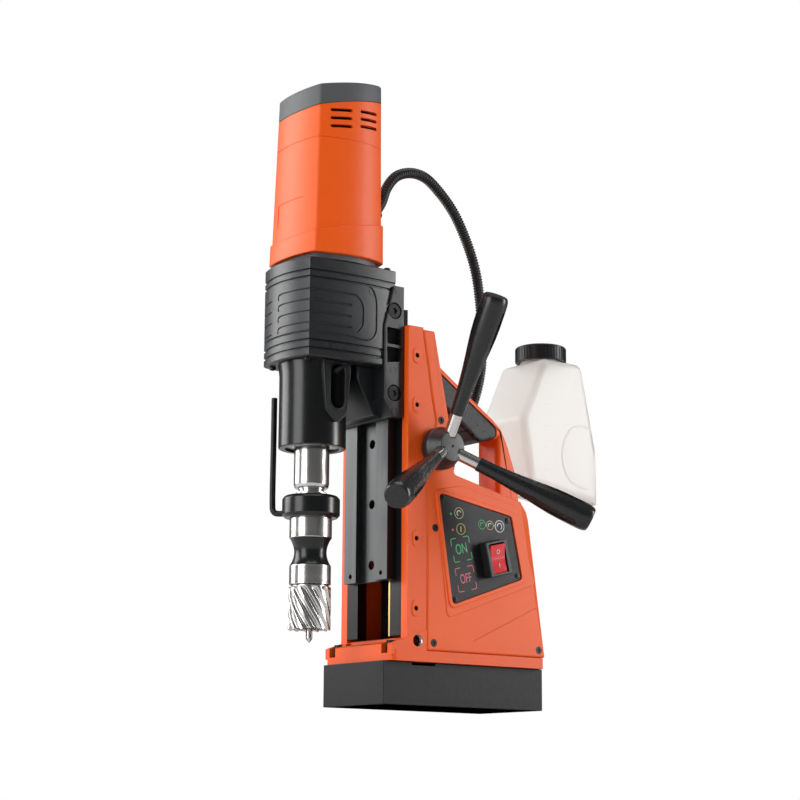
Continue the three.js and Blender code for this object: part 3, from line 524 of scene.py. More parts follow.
# ---------- conduit from the motor to the housing ----------
CONDUIT = [(0, -84.6, 501.2), (0, -79.2, 508.4), (0, -72, 519.5), (0, -65, 537), (0, -52.6, 552),
    (-1, -32.9, 560), (-3, -12.2, 559.5), (-7, 10.3, 549), (-11, 34, 530.5), (-16, 56, 503),
    (-21, 72.5, 474), (-25, 82, 441), (-28, 87, 405), (-31, 88, 368), (-33, 80, 334), (-33.5, 60, 294),
    (-33.2, 48, 264), (-33, 42.2, 238.6)]
RIB_PITCH = 3.0


def make_conduit():
    path = spline(CONDUIT, RIB_PITCH / 4)
    hose = paint(sweep("conduit_hose", path, [5.7, 5.7, 4.8, 4.8], 16), "black_plastic")
    hose.data.polygons.foreach_set("use_smooth", [True] * len(hose.data.polygons))
    hose.data.set_sharp_from_angle(angle=radians(50))
    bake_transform(hose)
    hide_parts("conduit")
    length = sum((b - a).length for a, b in zip(path, path[1:])) * MM
    [c * MM for c in CONDUIT[0]]
    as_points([list(p * MM) for p in path[::4]] + [list(path[-1] * MM)])


make_conduit()

# ---------- motor ----------
MOTOR_Y, MOTOR_BOTTOM, MOTOR_TOP = -140, 440, 616.5
MOTOR_FRONT, MOTOR_REAR = 42, 41.3
MOTOR_HALF_X, MOTOR_REAR_HALF_X = 40, 43.6
MOTOR_NARROWING = 1 / 2800
TILT_FROM_Y = -38


def motor_outline(grow):
    a, b = MOTOR_HALF_X + grow, MOTOR_FRONT + grow
    c, d = MOTOR_REAR_HALF_X + grow, MOTOR_REAR + grow
    sides = [((-a, -b), (0, -b - 12), (a, -b)), ((a, -b), (a + 18, 0), (c, d - 8)),
        ((c, d - 8), (c - 3, d - 2), (c - 8, d)), ((c - 8, d), (0, d + 8), (-c + 8, d)),
        ((-c + 8, d), (-c + 3, d - 2), (-c, d - 8)), ((-c, d - 8), (-a - 18, 0), (-a, -b))]
    return curved_outline(sides, [3.2, 3.2, 2, 2, 2, 2], [22, 20, 2, 18, 2, 20])


def motor_loft(name, levels):
    """Levels are (height at the front edge, slope towards the rear, growth)."""
    rings = []
    for height, slope, grow in levels:
        scale = 1 - (height - MOTOR_BOTTOM) * MOTOR_NARROWING
        ring = []
        for x, y in motor_outline(grow):
            y = MOTOR_REAR + (y - MOTOR_REAR) * scale
            ring.append((x * scale, y + MOTOR_Y, height + slope * (y - TILT_FROM_Y)))
        rings.append(ring)
    return loft(name, rings)


CAP_SLOPE, TOP_SLOPE = 0.22, 0.17


def make_motor():
    housing = motor_loft("motor_housing_fine", [(440, 0, 0.9), (440.6, 0, 1.4), (450, 0, 1.4),
        (462.4, CAP_SLOPE, 1.4), (463, CAP_SLOPE, 0.9), (463.3, CAP_SLOPE, 0), (500, 0, 0), (530, 0, 0),
        (559.5, 0, 0), (559.7, 0, -0.5), (560.3, 0, -0.5), (560.5, 0, 0), (575, 0, 0),
        (593.4, CAP_SLOPE, 0), (594, CAP_SLOPE, -0.5)])
    label = cut(block("label", -25, 22, -190, -160, 477, 500.5),
        motor_loft("label_floor", [(470, 0, -0.55), (510, 0, -0.55)]))
    inside = motor_loft("inside", [(445, 0, -3.6), (600, CAP_SLOPE, -3.6)])
    slots = []
    for side in (1, -1):
        for y0, y1, top in ((-167.6, -143.5, 590.3), (-134.6, -111, 594)):
            for row in range(3):
                z = top - row * (8.5 if y0 < -150 else 7.9)
                outline = obround((y0 + y1) / 2, z, (y1 - y0) / 2, 1.75, tilt=radians(6))
                slots.append(prism("slot", outline, side * 20, side * 70))
    shaft_hole = lathe("hole", rod(14, 430, 450), (0, MOTOR_Y, 0))
    cut(housing, label, inside, *slots, shaft_hole)
    dress(housing, "carriage", "orange_plastic", "motor_housing")

    cap = motor_loft("motor_cap_fine", [(594.3, CAP_SLOPE, -0.4), (594.7, CAP_SLOPE, 0),
        (600, CAP_SLOPE, 0), (MOTOR_TOP - 1.7, TOP_SLOPE, 0), (MOTOR_TOP - 0.6, TOP_SLOPE, -0.7),
        (MOTOR_TOP, TOP_SLOPE, -2.2)])
    hollow = motor_loft("hollow", [(590, CAP_SLOPE, -3.6), (MOTOR_TOP - 6, TOP_SLOPE, -3.6)])
    recesses, screws = [], []
    for x, y in ((36.5, -36), (-36.5, -36), (33, 31), (-33, 31)):
        top = MOTOR_TOP + TOP_SLOPE * (y - TILT_FROM_Y)
        recesses.append(lathe("recess", rod(4.4, top - 5, top + 4), (x * 0.86, y * 0.86 + MOTOR_Y, 0),
            segments=28))
        screws.append(lathe("screw", [(0, top - 6), (3.4, top - 6), (3.4, top - 3.2), (3.0, top - 2.6),
            (1.6, top - 2.6), (1.4, top - 4.2), (0, top - 4.2)], (x * 0.86, y * 0.86 + MOTOR_Y, 0),
            segments=24))
    cut(cap, hollow, *recesses)
    dress(cap, "carriage", "grey_plastic", "motor_cap")
    dress(merge("motor_cap_screws", screws), "carriage", "bright_steel")


make_motor()

# ---------- gearbox casting ----------
BOX = {"front": -188, "half": 40, "bulge": 8, "side": 46.5, "rear": -86, "rear_half": 45, "bottom": 334,
    "top": 434}


def box_sides(grow=0.0):
    half, rear_half = BOX["half"] + grow, BOX["rear_half"] + grow
    front, rear = BOX["front"] - grow, BOX["rear"]
    bow = 2 * (BOX["side"] + grow) - (half + rear_half) / 2
    mid = (front + rear) / 2
    return [((-half, front), (0, front - 2 * BOX["bulge"]), (half, front)),
        ((half, front), (bow, mid), (rear_half, rear)), ((rear_half, rear), (0, rear), (-rear_half, rear)),
        ((-rear_half, rear), (-bow, mid), (-half, front))]


def box_outline(grow):
    return curved_outline(box_sides(grow), [1.2, 1.2, 1, 1], [24, 28, 16, 28])


def side_x(y, side=1):
    """How far out the casting's side is at y."""
    start, control, end = box_sides()[1]
    return side * bezier(start, control, end, (y - start[1]) / (end[1] - start[1]))[0]


def front_y(x):
    start, control, end = box_sides()[0]
    return bezier(start, control, end, (x - start[0]) / (end[0] - start[0]))[1]


GROOVE_R = 1.1


def groove(points):
    return sweep("groove", spline(points, 1.6), [GROOVE_R], 8)


def side_groove(points, side):
    """A groove on a side, through (y, z) points; it starts at the front corner."""
    return groove([(side_x(y, side), y, z) for y, z in points])


def front_groove(x0, x1, z, hook=0):
    steps = max(2, int(abs(x1 - x0) / 5))
    points = [(x0 + (x1 - x0) * i / steps, z) for i in range(steps + 1)]
    if hook:
        points = [(x0, z - hook), (x0, z - 1.2)] + points[1:]
    return groove([(x, front_y(x), z) for x, z in points])


CLAMP_BOLTS = [307.5, 391.8]
CLAMP_Y = -89.8


def make_gearbox():
    levels = [(334, -1.2), (335.2, 0)]
    for z in (342, 350, 413.5, 420.5):
        levels += [(z - 1.3, 0), (z - 0.4, -1.4), (z + 0.4, -1.4), (z + 1.3, 0)]
    levels += [(433, 0), (434, -1)]
    body = loft("gearbox_fine", [[(x, y, z) for x, y in box_outline(grow)] for z, grow in levels])
    bracket = soft_prism("bracket", rounded([(-102, 300), (-92, 283), (-78, 283), (-78, 418), (-91, 418),
        (-102, 376)], [6, 3, 0, 0, 3, 10]), -48.5, 48.5, 0.9)
    fuse(body, bracket)
    cavity = loft("cavity", [[(x, y, z) for x, y in box_outline(-4.5)] for z in (340, 436)])
    cut(cavity, block("keep_wall", -60, 60, -105, -60, 330, 440))
    tools = [cavity, block("slot", -36.3, 36.3, -88.3, -70, 270, 400.3),
        lathe("spindle_hole", rod(18, 320, 345), (0, SPINDLE_Y, 0))]
    for side in (1, -1):
        for z0, z1 in ((337.5, 354), (357, 374)):
            window = rounded([(-99.5, z0), (-81.5, z0 + (3 if z0 < 350 else 0)), (-81.5, z1), (-99.5, z1)],
                1.8)
            tools.append(prism("window", window, side * 40.5, side * 60))
        for z in CLAMP_BOLTS:
            tools.append(side_lathe("counterbore", rod(8.6, 45, 60), CLAMP_Y, z, side, 32))
        marks = [(-92, 411), (-92, 330.5), (-90, 289), (-168, 344.5), (-118, 407)]
        for y, z in marks:
            x = 48.5 if y > -100 else abs(side_x(y))
            tools.append(side_lathe("mark", ring(3.0, 3.5, x - 0.35, x + 2), y, z, side, 24))
    cut(body, *tools)

    lines = []
    for z in (401, 390, 378.5, 367):
        lines.append(front_groove(-3, 39.5, z, hook=6))
        lines.append(front_groove(-40, -17, z - 4))
    for side in (1, -1):
        start = -187.5
        lines.append(side_groove([(start, 401), (-150, 401), (-136, 400), (-129, 392), (-128, 380),
            (-129, 371), (-135, 364)], side))
        for z in (390, 378.5, 367):
            lines.append(side_groove([(start, z), (-160, z), (-142, z)], side))
        lines.append(side_groove([(-132, 413.5), (-120, 412), (-113, 403), (-111.5, 380), (-113, 365),
            (-121, 357.5), (-150, 358), (start, 358.5)], side))
        lines.append(side_groove([(-112, 350.5), (-106, 349), (-104.5, 345), (-106, 341.5), (-112, 340.5)],
            side))
    lines.append(front_groove(-40, 39.5, 358.5))
    cut(body, merge("lines", lines))
    dress(body, "carriage", "black_casting", "gearbox_casting", angle=32)

    # A dark web under the box, behind the nose, and small screws under the front corners and on the rim.
    web = soft_prism("gearbox_web", rounded([(-124, 333.5), (-124, 322), (-103, 286), (-96, 284),
        (-88.7, 284), (-88.7, 333.5)], [0, 8, 4, 2, 0, 0]), -31, 31, 0.8)
    dress(web, "carriage", "black_casting")
    screws = []
    for x in (-30, 30):
        screws.append(lathe("screw", [(0, 330.6), (1.6, 330.6), (1.8, 332), (3.2, 331.2), (3.2, 333.7),
            (0, 333.7)], (x, -183.5, 0), segments=20))
        screws.append(lathe("screw", [(0, 434.2), (3.4, 434.2), (3.4, 437.2), (3, 437.6), (1.5, 437.6),
            (1.5, 436), (0, 436)], (x * 1.25, -92, 0), segments=20))
    dress(merge("gearbox_screws", screws), "carriage", "black_steel")


make_gearbox()


# ---------- spindle nose ----------
def make_nose():
    y = SPINDLE_Y
    top = 333.7
    body = lathe("nose_fine", [(27, 249.5), (32.4, 249.5), (33.2, 249.9), (33.5, 250.8), (33.5, 300),
        (33.6, 322), (35, top), (18.5, top), (18.5, 266), (27, 266), (27, 249.5)], (0, y, 0), segments=96)
    outline = rounded([(-151 - 17, top - 0.1), (-151 - 12.5, 282), (-151, 270), (-151 + 12.5, 282),
        (-151 + 17, top - 0.1)], [0, 10, 12, 10, 0], 8)
    boss = soft_prism("boss", outline, 20, 36.6, 0.9)
    cut(boss, lathe("core", rod(25, 240, 350), (0, y, 0)))
    fuse(body, boss)
    window = prism("window", obround(-151, 308.5, 8.2, 22.5, 14), 12, 60)
    cut(body, window)
    rim = cut(soft_prism("rim", obround(-151, 308.5, 9.6, 23.9, 14), 30, 37.1, 0.5),
        prism("rim_hole", obround(-151, 308.5, 8.2, 22.5, 14), 20, 50))
    fuse(body, rim)
    dress(body, "carriage", "nose_gloss", "spindle_nose", angle=30)

    bearing = lathe("nose_bearing_fine", ring(17.9, 26.6, 251.5, 265.5), (0, y, 0), segments=72)
    notches = []
    for k in range(8):
        a = 2 * pi * k / 8
        notches.append(lathe("notch", rod(2.2, 250, 253.4), (23.2 * cos(a), y + 23.2 * sin(a), 0),
            segments=16))
    notches.append(lathe("groove", ring(20.3, 21, 250, 252.3), (0, y, 0), segments=72))
    cut(bearing, *notches)
    dress(bearing, "carriage", "bright_steel", "nose_bearing")


make_nose()


# ---------- spindle, arbor, cutter ----------
def paint_by_height(obj, low, high, inner, outer):
    """Faces between two heights take the inner material and the rest the outer one."""
    paint(obj, outer, inner)
    for face in obj.data.polygons:
        face.material_index = 1 if low * MM < face.center.z < high * MM else 0


CUTTER = {"r": 20.7, "root": 18.3, "bore": 15.6, "bottom": 70.5, "top": 112.4, "flutes": 12,
    "twist": radians(76)}
# How much of the flute's depth is cut away at each step round one tooth.
TOOTH = [0, 0, 0, 0, 0.02, 0.1, 0.55, 0.92, 1, 1, 0.9, 0.3]
TOOTH_RISE, INNER_RISE = 2.6, 1.5
PIN_HOLE_R, BORE_TOP, LEVELS = 3.6, 104, 40
SHANK = [(19.2, 112.9), (18.2, 113.2), (18.2, 113.9), (9.3, 113.9), (9.3, 140), (PIN_HOLE_R, 140)]


def make_cutter():
    per = len(TOOTH)
    steps = range(CUTTER["flutes"] * per)

    def circle(r, height, turn=0.0):
        """Points at one radius; height is a number or a function of the step."""
        ring = []
        for i in steps:
            a = 2 * pi * i / len(steps) + turn
            ring.append((r * cos(a), r * sin(a) + SPINDLE_Y, height(i) if callable(height) else height))
        return ring

    rings = []
    for k in range(LEVELS + 1):
        t = k / LEVELS
        z = CUTTER["bottom"] + (CUTTER["top"] - CUTTER["bottom"]) * t
        turn = -CUTTER["twist"] * t
        ring = []
        for i in steps:
            a = 2 * pi * i / len(steps) + turn
            share = TOOTH[i % per] * min(1, (1 - t) * 14 + 0.05)
            r = CUTTER["r"] - (CUTTER["r"] - CUTTER["root"]) * share
            rise = TOOTH_RISE * ((i % per) / per) if k == 0 else 0
            ring.append((r * cos(a), r * sin(a) + SPINDLE_Y, z + rise))
        rings.append(ring)
    rings += [circle(r, z, turn) for r, z in SHANK]
    rings += [circle(PIN_HOLE_R, BORE_TOP), circle(CUTTER["bore"], BORE_TOP)]
    rings.append(circle(CUTTER["bore"], lambda i: CUTTER["bottom"] + 1.6 + INNER_RISE * (i % per) / per))
    dress(loft("cutter_fine", rings, closed=True), "spindle", "bright_steel", "annular_cutter", angle=48)


def make_spindle():
    c = (0, SPINDLE_Y, 0)
    spindle = lathe("spindle_fine", [(0, 404), (8.5, 404), (8.5, 398), (14, 397), (14, 372), (16, 371),
        (16, 268), (17.5, 267), (17.5, 214), (17.2, 213.1), (16.6, 211), (16.2, 210.4), (12.4, 210.4),
        (10, 292), (0, 294)], c, segments=96)
    dress(spindle, "spindle", "bright_steel", "spindle")

    waist = [(20.4 - 4.5 * sin(pi * i / 20) ** 0.85, 133.4 + 27 * i / 20) for i in range(21)]
    arbor = lathe("arbor_fine", [(9.6, 114.3), (19.4, 114.3), (20.4, 115), (20.4, 132.6), *waist,
        (20.9, 161), (20.9, 179.4), (20.3, 180), (19, 180), (19, 203.6), (15.4, 203.8), (15.4, 205.6),
        (12.4, 205.8), (12.4, 208.4), (13.2, 208.8), (13.2, 209.8), (12.2, 210), (9.6, 290), (3.5, 290),
        (3.5, 150), (9.6, 150), (9.6, 114.3)], c, segments=96)
    paint_by_height(arbor, 133.2, 160.6, "nose_gloss", "bright_steel")
    dress(arbor, "spindle", "bright_steel", "arbor")

    collar = lathe("collar_fine", [(19.3, 180.6), (25.2, 180.6), (26, 180.9), (28.3, 183.4), (28.5, 184.2),
        (28.5, 198.7), (28.2, 199.5), (26.4, 201.7), (25.6, 202.2), (19.3, 202.2), (19.3, 180.6)], c,
        segments=96)
    dress(collar, "carriage", "nose_gloss", "coolant_ring", angle=30)

    pin = lathe("pilot_pin_fine", [(0, 58.7), (0.5, 58.8), (3.1, 62.4), (3.2, 63), (3.2, 168), (0, 168)], c,
        segments=32)
    cut(pin, block("slot", -0.55, 0.55, -160, -156.8, 50, 80), block("slot", 1.4, 6, -155.6, -154.4, 50,
        80))
    dress(pin, "spindle", "bright_steel", "pilot_pin")


make_cutter()
make_spindle()

PIPE_AT = (-47.5, -169)


def make_pipe():
    x, y = PIPE_AT
    inward = Vector((x, y - SPINDLE_Y)).normalized()
    z = 188.4
    points = [(inward.x * 28.8, SPINDLE_Y + inward.y * 28.8, z), (x - inward.x * 9, y - inward.y * 9, z),
        (x - inward.x * 3, y - inward.y * 3, z + 1.4), (x - inward.x * 0.6, y - inward.y * 0.6, z + 4.6),
        (x, y, z + 11), (x, y, 260), (x, y, 307)]
    pipe = sweep("coolant_pipe_fine", spline(points, 1.6), [3.0], 24)
    dress(bevel(pipe, 0.5), "carriage", "black_steel", "coolant_pipe")


make_pipe()


# ---------- slide and rails ----------
def make_slide():
    # The slide's side faces, those facing along x, take the dark black_steel as painted shade and painted
    # dark reflection of the shadowed gap beside the rails.
    slide = paint(refine("slide", "slide_steel", 0.5), "black_steel")
    for face in slide.data.polygons:
        if abs(face.normal.x) > 0.9 and abs(face.center.x) > 30 * MM:
            face.material_index = 1
    for rail in ("guide_rail_left", "guide_rail_right"):
        refine(rail, "black_steel", 0.4)


make_slide()


def make_gib_bar():
    """The dark bar behind the left rail, seen in the channel under the slide."""
    bar = block("gib_bar", -26, -9.8, -48, -26, 67, 236)
    cut(bar, lathe("hole", rod(2.2, -60, -40), (-17, 0, 92), "y", 24))
    dress(bevel(bar, 0.8), "base", "black_steel")


make_gib_bar()


# ---------- frame casting ----------
GIB_SCREWS, GIB_SCREW_Y = [94, 163, 230, 297.5, 348], -66.5
EYELET = (-64, 62.5)


def make_casting():
    refine("frame_casting", "orange_paint", 0.9, 3)
    refine("magnet_body", "magnet_paint", 0.6, 2)
    bosses = []
    for side in (1, -1):
        for z in GIB_SCREWS:
            outline = obround(GIB_SCREW_Y, z, 4.9, 8.1)
            boss = soft_prism("boss", outline, *sorted((side * 54.2, side * 55.9)), 0.5,
                ends=(side < 0, side > 0))
            hole = side_lathe("hole", rod(2.6, 50, 60), GIB_SCREW_Y, z, side, 24)
            bosses.append(cut(boss, hole))
    dress(merge("gib_bosses", bosses), "base", "orange_paint")
    eyelets = [side_lathe("eyelet", [(4.2, 46), (4.2, 52.6), (6.2, 55.35), (6.6, 55.3), (6.6, 55.03),
        (5.9, 55.03), (5.9, 46), (4.2, 46)], *EYELET, side, 40) for side in (1, -1)]
    dress(merge("strap_eyelets", eyelets), "base", "bright_steel")
    for i in range(len(GIB_SCREWS)):
        refine(f"gib_screw_{i + 1}", "black_steel", 0)


make_casting()

# ---------- housing shells ----------
FEED = (68, -40, 255)  # where the spokes' axes meet
SHELL_OUTER, SHELL_INNER, CASTING_SIDE = 56, 53, 50.3
HALF_GAP = 0.15
HANDLE_HALF_X, GRIP_HALF_X = 17, 18.5
GLAND, GLAND_LEAN = (-33, 38, 219.6), radians(-12.6)
MAINS_INLET = (-30, 0, 78)
HOUSING = [(-53, 53.4), (-53, 235), (-47, 262), (-42.5, 283), (-48.5, 312), (-53, 340), (-58.6, 371),
    (-58, 376), (-44, 376), (-20, 262), (-18.5, 232), (62, 214), (95, 206.5), (101.5, 199), (101.5, 53.4)]
HOUSING_CORNERS = [0, 8, 0, 3, 10, 0, 0, 0, 2, 8, 6, 5, 5, 6, 3]
HANDLE = [(-54, 374.7), (-44, 375), (-13.6, 358), (13, 340), (47, 317.5), (68, 304), (78, 295.5), (87, 279),
    (98.6, 248), (102.2, 222), (102.2, 190), (70.5, 190), (70.5, 284), (66, 282.5), (48, 277.5),
    (40, 279.5), (30, 287.5), (2, 306.5), (-8, 311), (-13, 318), (-17.4, 351.9), (-38, 362), (-54, 362)]
HANDLE_CORNERS = [0, 0, 10, 10, 10, 12, 12, 20, 20, 10] + [0] * 13
GRIP = [(-17.4, 351.9), (67.2, 296.4), (69.4, 292.8), (69.6, 287), (66, 282.5), (48, 277.5), (40, 279.5),
    (30, 287.5), (2, 306.5), (-8, 311), (-13, 318)]
GRIP_CORNERS = [0, 0, 0, 0, 6, 6, 8, 10, 12, 8, 0]
INSIDE = [(-22.2, 56.5), (98.5, 56.5), (98.5, 198), (94, 203.4), (61, 211), (-22.2, 229)]
CASTING_ZONE = [(-75, 40), (-22.2, 40), (-22.2, 262), (-46.2, 374.4), (-75, 374.4)]
RACK_OPENING_Y = -49.8
SHELL_SCREWS = [(-36, 285), (-43, 175.5), (-44.5, 61.2), (92.4, 60.9)]
PANEL = [(-39.4, 210.8), (54.8, 195), (68.9, 132.2), (-21.6, 100.4)]
PLATEAU = [(-44, 214), (-10, 221), (60, 207), (88, 128), (-28, 86)]


def corner_plane(depth, side):
    """A big block beyond the slanting flat of the rear corner, moved in by a depth."""
    a, b, c = Vector((56, 98, 61)), Vector((56, 69, 207)), Vector((28, 102, 207))
    normal = (b - a).cross(c - a).normalized()
    if normal.y < 0:
        normal.negate()
    turn = Vector((0, 0, 1)).rotation_difference(normal).to_matrix().to_4x4()
    obj = block("corner", -150, 150, -150, 150, 0, 100)
    obj.data.transform(Matrix.Translation((a - depth * normal) * MM) @ turn)
    if side < 0:
        mirror(obj)
    return obj


def mirror(obj):
    obj.data.transform(Matrix.Scale(-1, 4, (1, 0, 0)))
    obj.data.flip_normals()
    return obj


def grown_panel(grow, corner=5):
    cy, cz = (sum(p[k] for p in PANEL) / 4 for k in (0, 1))
    points = []
    for y, z in PANEL:
        d = Vector((y - cy, z - cz))
        d = d.normalized() * (d.length + grow * 1.4)
        points.append((cy + d.x, cz + d.y))
    return rounded(points, corner, 6)


def make_shell(side):
    def across(x0, x1):
        return (x0, x1) if side > 0 else (-x1, -x0)

    name = "right" if side > 0 else "left"
    body = soft_prism("shell", rounded(HOUSING, HOUSING_CORNERS, 6), *across(HALF_GAP, SHELL_OUTER), 2.2,
        ends=(side < 0, side > 0))
    cut(body, corner_plane(0, side))
    handle = soft_prism("handle", rounded(HANDLE, HANDLE_CORNERS, 8), -HANDLE_HALF_X, HANDLE_HALF_X, 5.5,
        steps=6)
    grip_room = prism("grip_room", inset(rounded(GRIP, GRIP_CORNERS, 6), -0.3), -30, 30)
    cut(handle, block("half", *across(-20, HALF_GAP), -80, 120, 150, 400), grip_room)
    fuse(body, handle)
    plateau = soft_prism("plateau", rounded(PLATEAU, 6, 6), *across(54, 56.8), 0.9,
        ends=(side < 0, side > 0))
    fuse(body, plateau)
    if side > 0:
        # a raised frame round the panel's recess
        fuse(body, soft_prism("rim", grown_panel(5, 8), 54, 57.9, 1.0, ends=(0, 1)))
    inside = prism("inside", INSIDE, *across(-5, SHELL_INNER))
    cut(inside, corner_plane(SHELL_OUTER - SHELL_INNER, side))
    tools = [prism("casting", CASTING_ZONE, *across(-5, CASTING_SIDE)), inside,
        side_lathe("shaft", rod(10, 48, 62), *FEED[1:], side)]
    for y, z in SHELL_SCREWS:
        tools.append(side_lathe("screw_hole", rod(4, 54, 60), y, z, side, 32))
    # The rack rises through the top edge, and a line is engraved low on the side.
    tools.append(block("rack_opening", *across(-5, 10), -70, RACK_OPENING_Y, 370, 380))
    tools.append(prism("line", [(6, 65.3), (6.6, 67.2), (97, 109.2), (97, 107.4)], *across(55.3, 60)))
    if side > 0:
        tools.append(prism("panel_seat", grown_panel(0.6), 54.7, 70))
        tools.append(prism("panel_window", grown_panel(-7), 48, 56))
    else:
        tools.append(lathe("gland_hole", rod(7.9, -14, 8), GLAND, turn=Matrix.Rotation(GLAND_LEAN, 4, "X")))
        tools.append(lathe("mains_hole", rod(6.3, 90, 110), MAINS_INLET, "y"))
    cut(body, *tools)
    dress(body, "base", "orange_plastic", name + "_housing_shell", angle=32)


for shell_side in (1, -1):
    make_shell(shell_side)


def make_grip():
    grip = soft_prism("handle_grip_fine", rounded(GRIP, GRIP_CORNERS, 6), -GRIP_HALF_X, GRIP_HALF_X, 4.5)
    ribs = []
    for k in range(9):
        y = 4 + 6.5 * k
        z = 306 - 0.62 * (y - 2)
        ribs.append(sweep("rib", [Vector((x, y, z)) for x in (-30, 30)], [1.1], 10))
    dots = []
    for side in (1, -1):
        for row in range(2):
            for k in range(9):
                y = -6 + 8.2 * k
                z = 338 - 0.655 * (y + 6) - 11 * row
                dots.append(side_lathe("dot", [(0, 18.0), (1.0, 18.0), (0.8, 18.75), (0, 18.9)], y, z, side,
                    12))
    cut(grip, *ribs)
    fuse(grip, merge("dots", dots))
    dress(grip, "base", "rubber", "handle_grip")


make_grip()
for number in range(1, 5):
    refine(f"shell_screw_{number}", "black_steel", 0)


def make_left_screws():
    screws = [side_lathe("screw", [(0, 54.5), (3.6, 54.5), (3.6, 55.4), (3.3, 55.7), (1.9, 55.7),
        (1.9, 54.9), (0, 54.9)], y, z, -1, 24) for y, z in SHELL_SCREWS]
    dress(merge("left_shell_screws", screws), "base", "black_steel")


make_left_screws()

# ---------- control panel ----------
PANEL_TILT = radians(13.5)
SWITCH = (31, 150)
SWITCH_X, SWITCH_FRONT = 61.5, 66.5
ROCKER_HALF, ROCKER_TILT = 14.4, radians(7)
PANEL_FACE, PRINT = 56.6, 0.18


def tilted(points, centre):
    """Points given along the panel's own two ways from a centre."""
    turn = Matrix.Rotation(PANEL_TILT, 2)
    return [tuple(turn @ Vector(p) + Vector(centre)) for p in points]


def switch_outline(half_u, half_v, corner=1.5):
    points = rounded([(-half_u, -half_v), (half_u, -half_v), (half_u, half_v), (-half_u, half_v)], corner)
    return tilted(points, SWITCH)


def mark(outline, material):
    return paint(prism("mark", outline, PANEL_FACE - 0.05, PANEL_FACE + PRINT), material)


def ring_mark(y, z, r, width, material):
    profile = ring(r - width, r, PANEL_FACE - 0.05, PANEL_FACE + PRINT)
    return paint(lathe("mark", profile, (0, y, z), "x", 40), material)


def stroke(points, width, material):
    """A printed line of one width through (y, z) points."""
    left, right = [], []
    pts = [Vector(p) for p in points]
    for i, p in enumerate(pts):
        along = (pts[min(i + 1, len(pts) - 1)] - pts[max(i - 1, 0)]).normalized()
        normal = Vector((-along.y, along.x)) * width / 2
        left.append(tuple(p + normal))
        right.append(tuple(p - normal))
    return mark(left + right[::-1], material)


def lettering(text, y, z, size, material, stretch):
    """Plain letters on the panel as a thin raised print."""
    curve = bpy.data.curves.new("text", "FONT")
    curve.body = text
    curve.size = size * MM
    curve.extrude = 0.09 * MM
    curve.align_x, curve.align_y = "CENTER", "CENTER"
    obj = add_object("text", curve)
    bpy.context.view_layer.update()
    mesh = bpy.data.meshes.new_from_object(obj.evaluated_get(bpy.context.evaluated_depsgraph_get()))
    bpy.data.objects.remove(obj)
    facing = Matrix(((0, 0, 1), (1, 0, 0), (0, 1, 0))).to_4x4()
    mesh.transform(Matrix.Translation(Vector((PANEL_FACE + PRINT / 2, y, z)) * MM)
        @ Matrix.Rotation(PANEL_TILT, 4, "X") @ facing @ Matrix.Diagonal((stretch, 1, 1, 1)))
    mesh.materials.clear()
    return paint(add_object("text", mesh), material)


FIELD_HALF, FIELD_ARM = 11.8, 7


def bracket_frame(y, z, material):
    """Four rounded corners round a printed word."""
    marks = []
    for su in (1, -1):
        for sv in (1, -1):
            path = [(su * (FIELD_HALF - a), sv * (FIELD_HALF - b)) for a, b in ((FIELD_ARM, 0), (1.5, 0),
                (0.45, 0.45), (0, 1.5), (0, FIELD_ARM))]
            marks.append(stroke(tilted(path, (y, z)), 0.8, material))
    return marks


def arc(y, z, r, a0, a1, width, material):
    angles = [radians(a0 + (a1 - a0) * i / 14) for i in range(15)]
    return stroke([(y + r * cos(a), z + r * sin(a)) for a in angles], width, material)


ON_FIELD, OFF_FIELD = (-10.2, 156.6), (-4.5, 127.3)
# Places in (y, z); then a radius and a width, or a width alone.
RING_MARKS = [(-13.5, 192.7, 5.8, 0.6, "print_yellow"), (-10.9, 176.8, 5.8, 0.6, "print_yellow"),
    (16.5, 183.8, 4.8, 0.5, "print_green"), (27, 183.9, 4.7, 0.5, "print_yellow"),
    (39.8, 184, 6.3, 0.8, "print_white"), (-23.9, 191.1, 1.2, 1.19, "print_green"),
    (-21.3, 175.2, 1.2, 1.19, "print_red")]
DASHES = [([(21.3, 183.8), (22.3, 183.8)], 0.5, "print_white"), ([(31.7, 183.9), (33.5, 183.9)], 0.5,
    "print_white"), ([(-10.9, 174), (-10.9, 179.6)], 1.1, "print_yellow")]
# Place, radius, first and last angle, width.
ARC_MARKS = [(-13.5, 192.7, 2.5, 20, 250, 0.8, "print_white"), (39.8, 184, 3, -60, 190, 0.9, "print_white"),
    (16.5, 183.8, 2.1, 30, 220, 0.6, "print_green"), (27, 183.9, 2.1, 30, 220, 0.7, "print_white")]


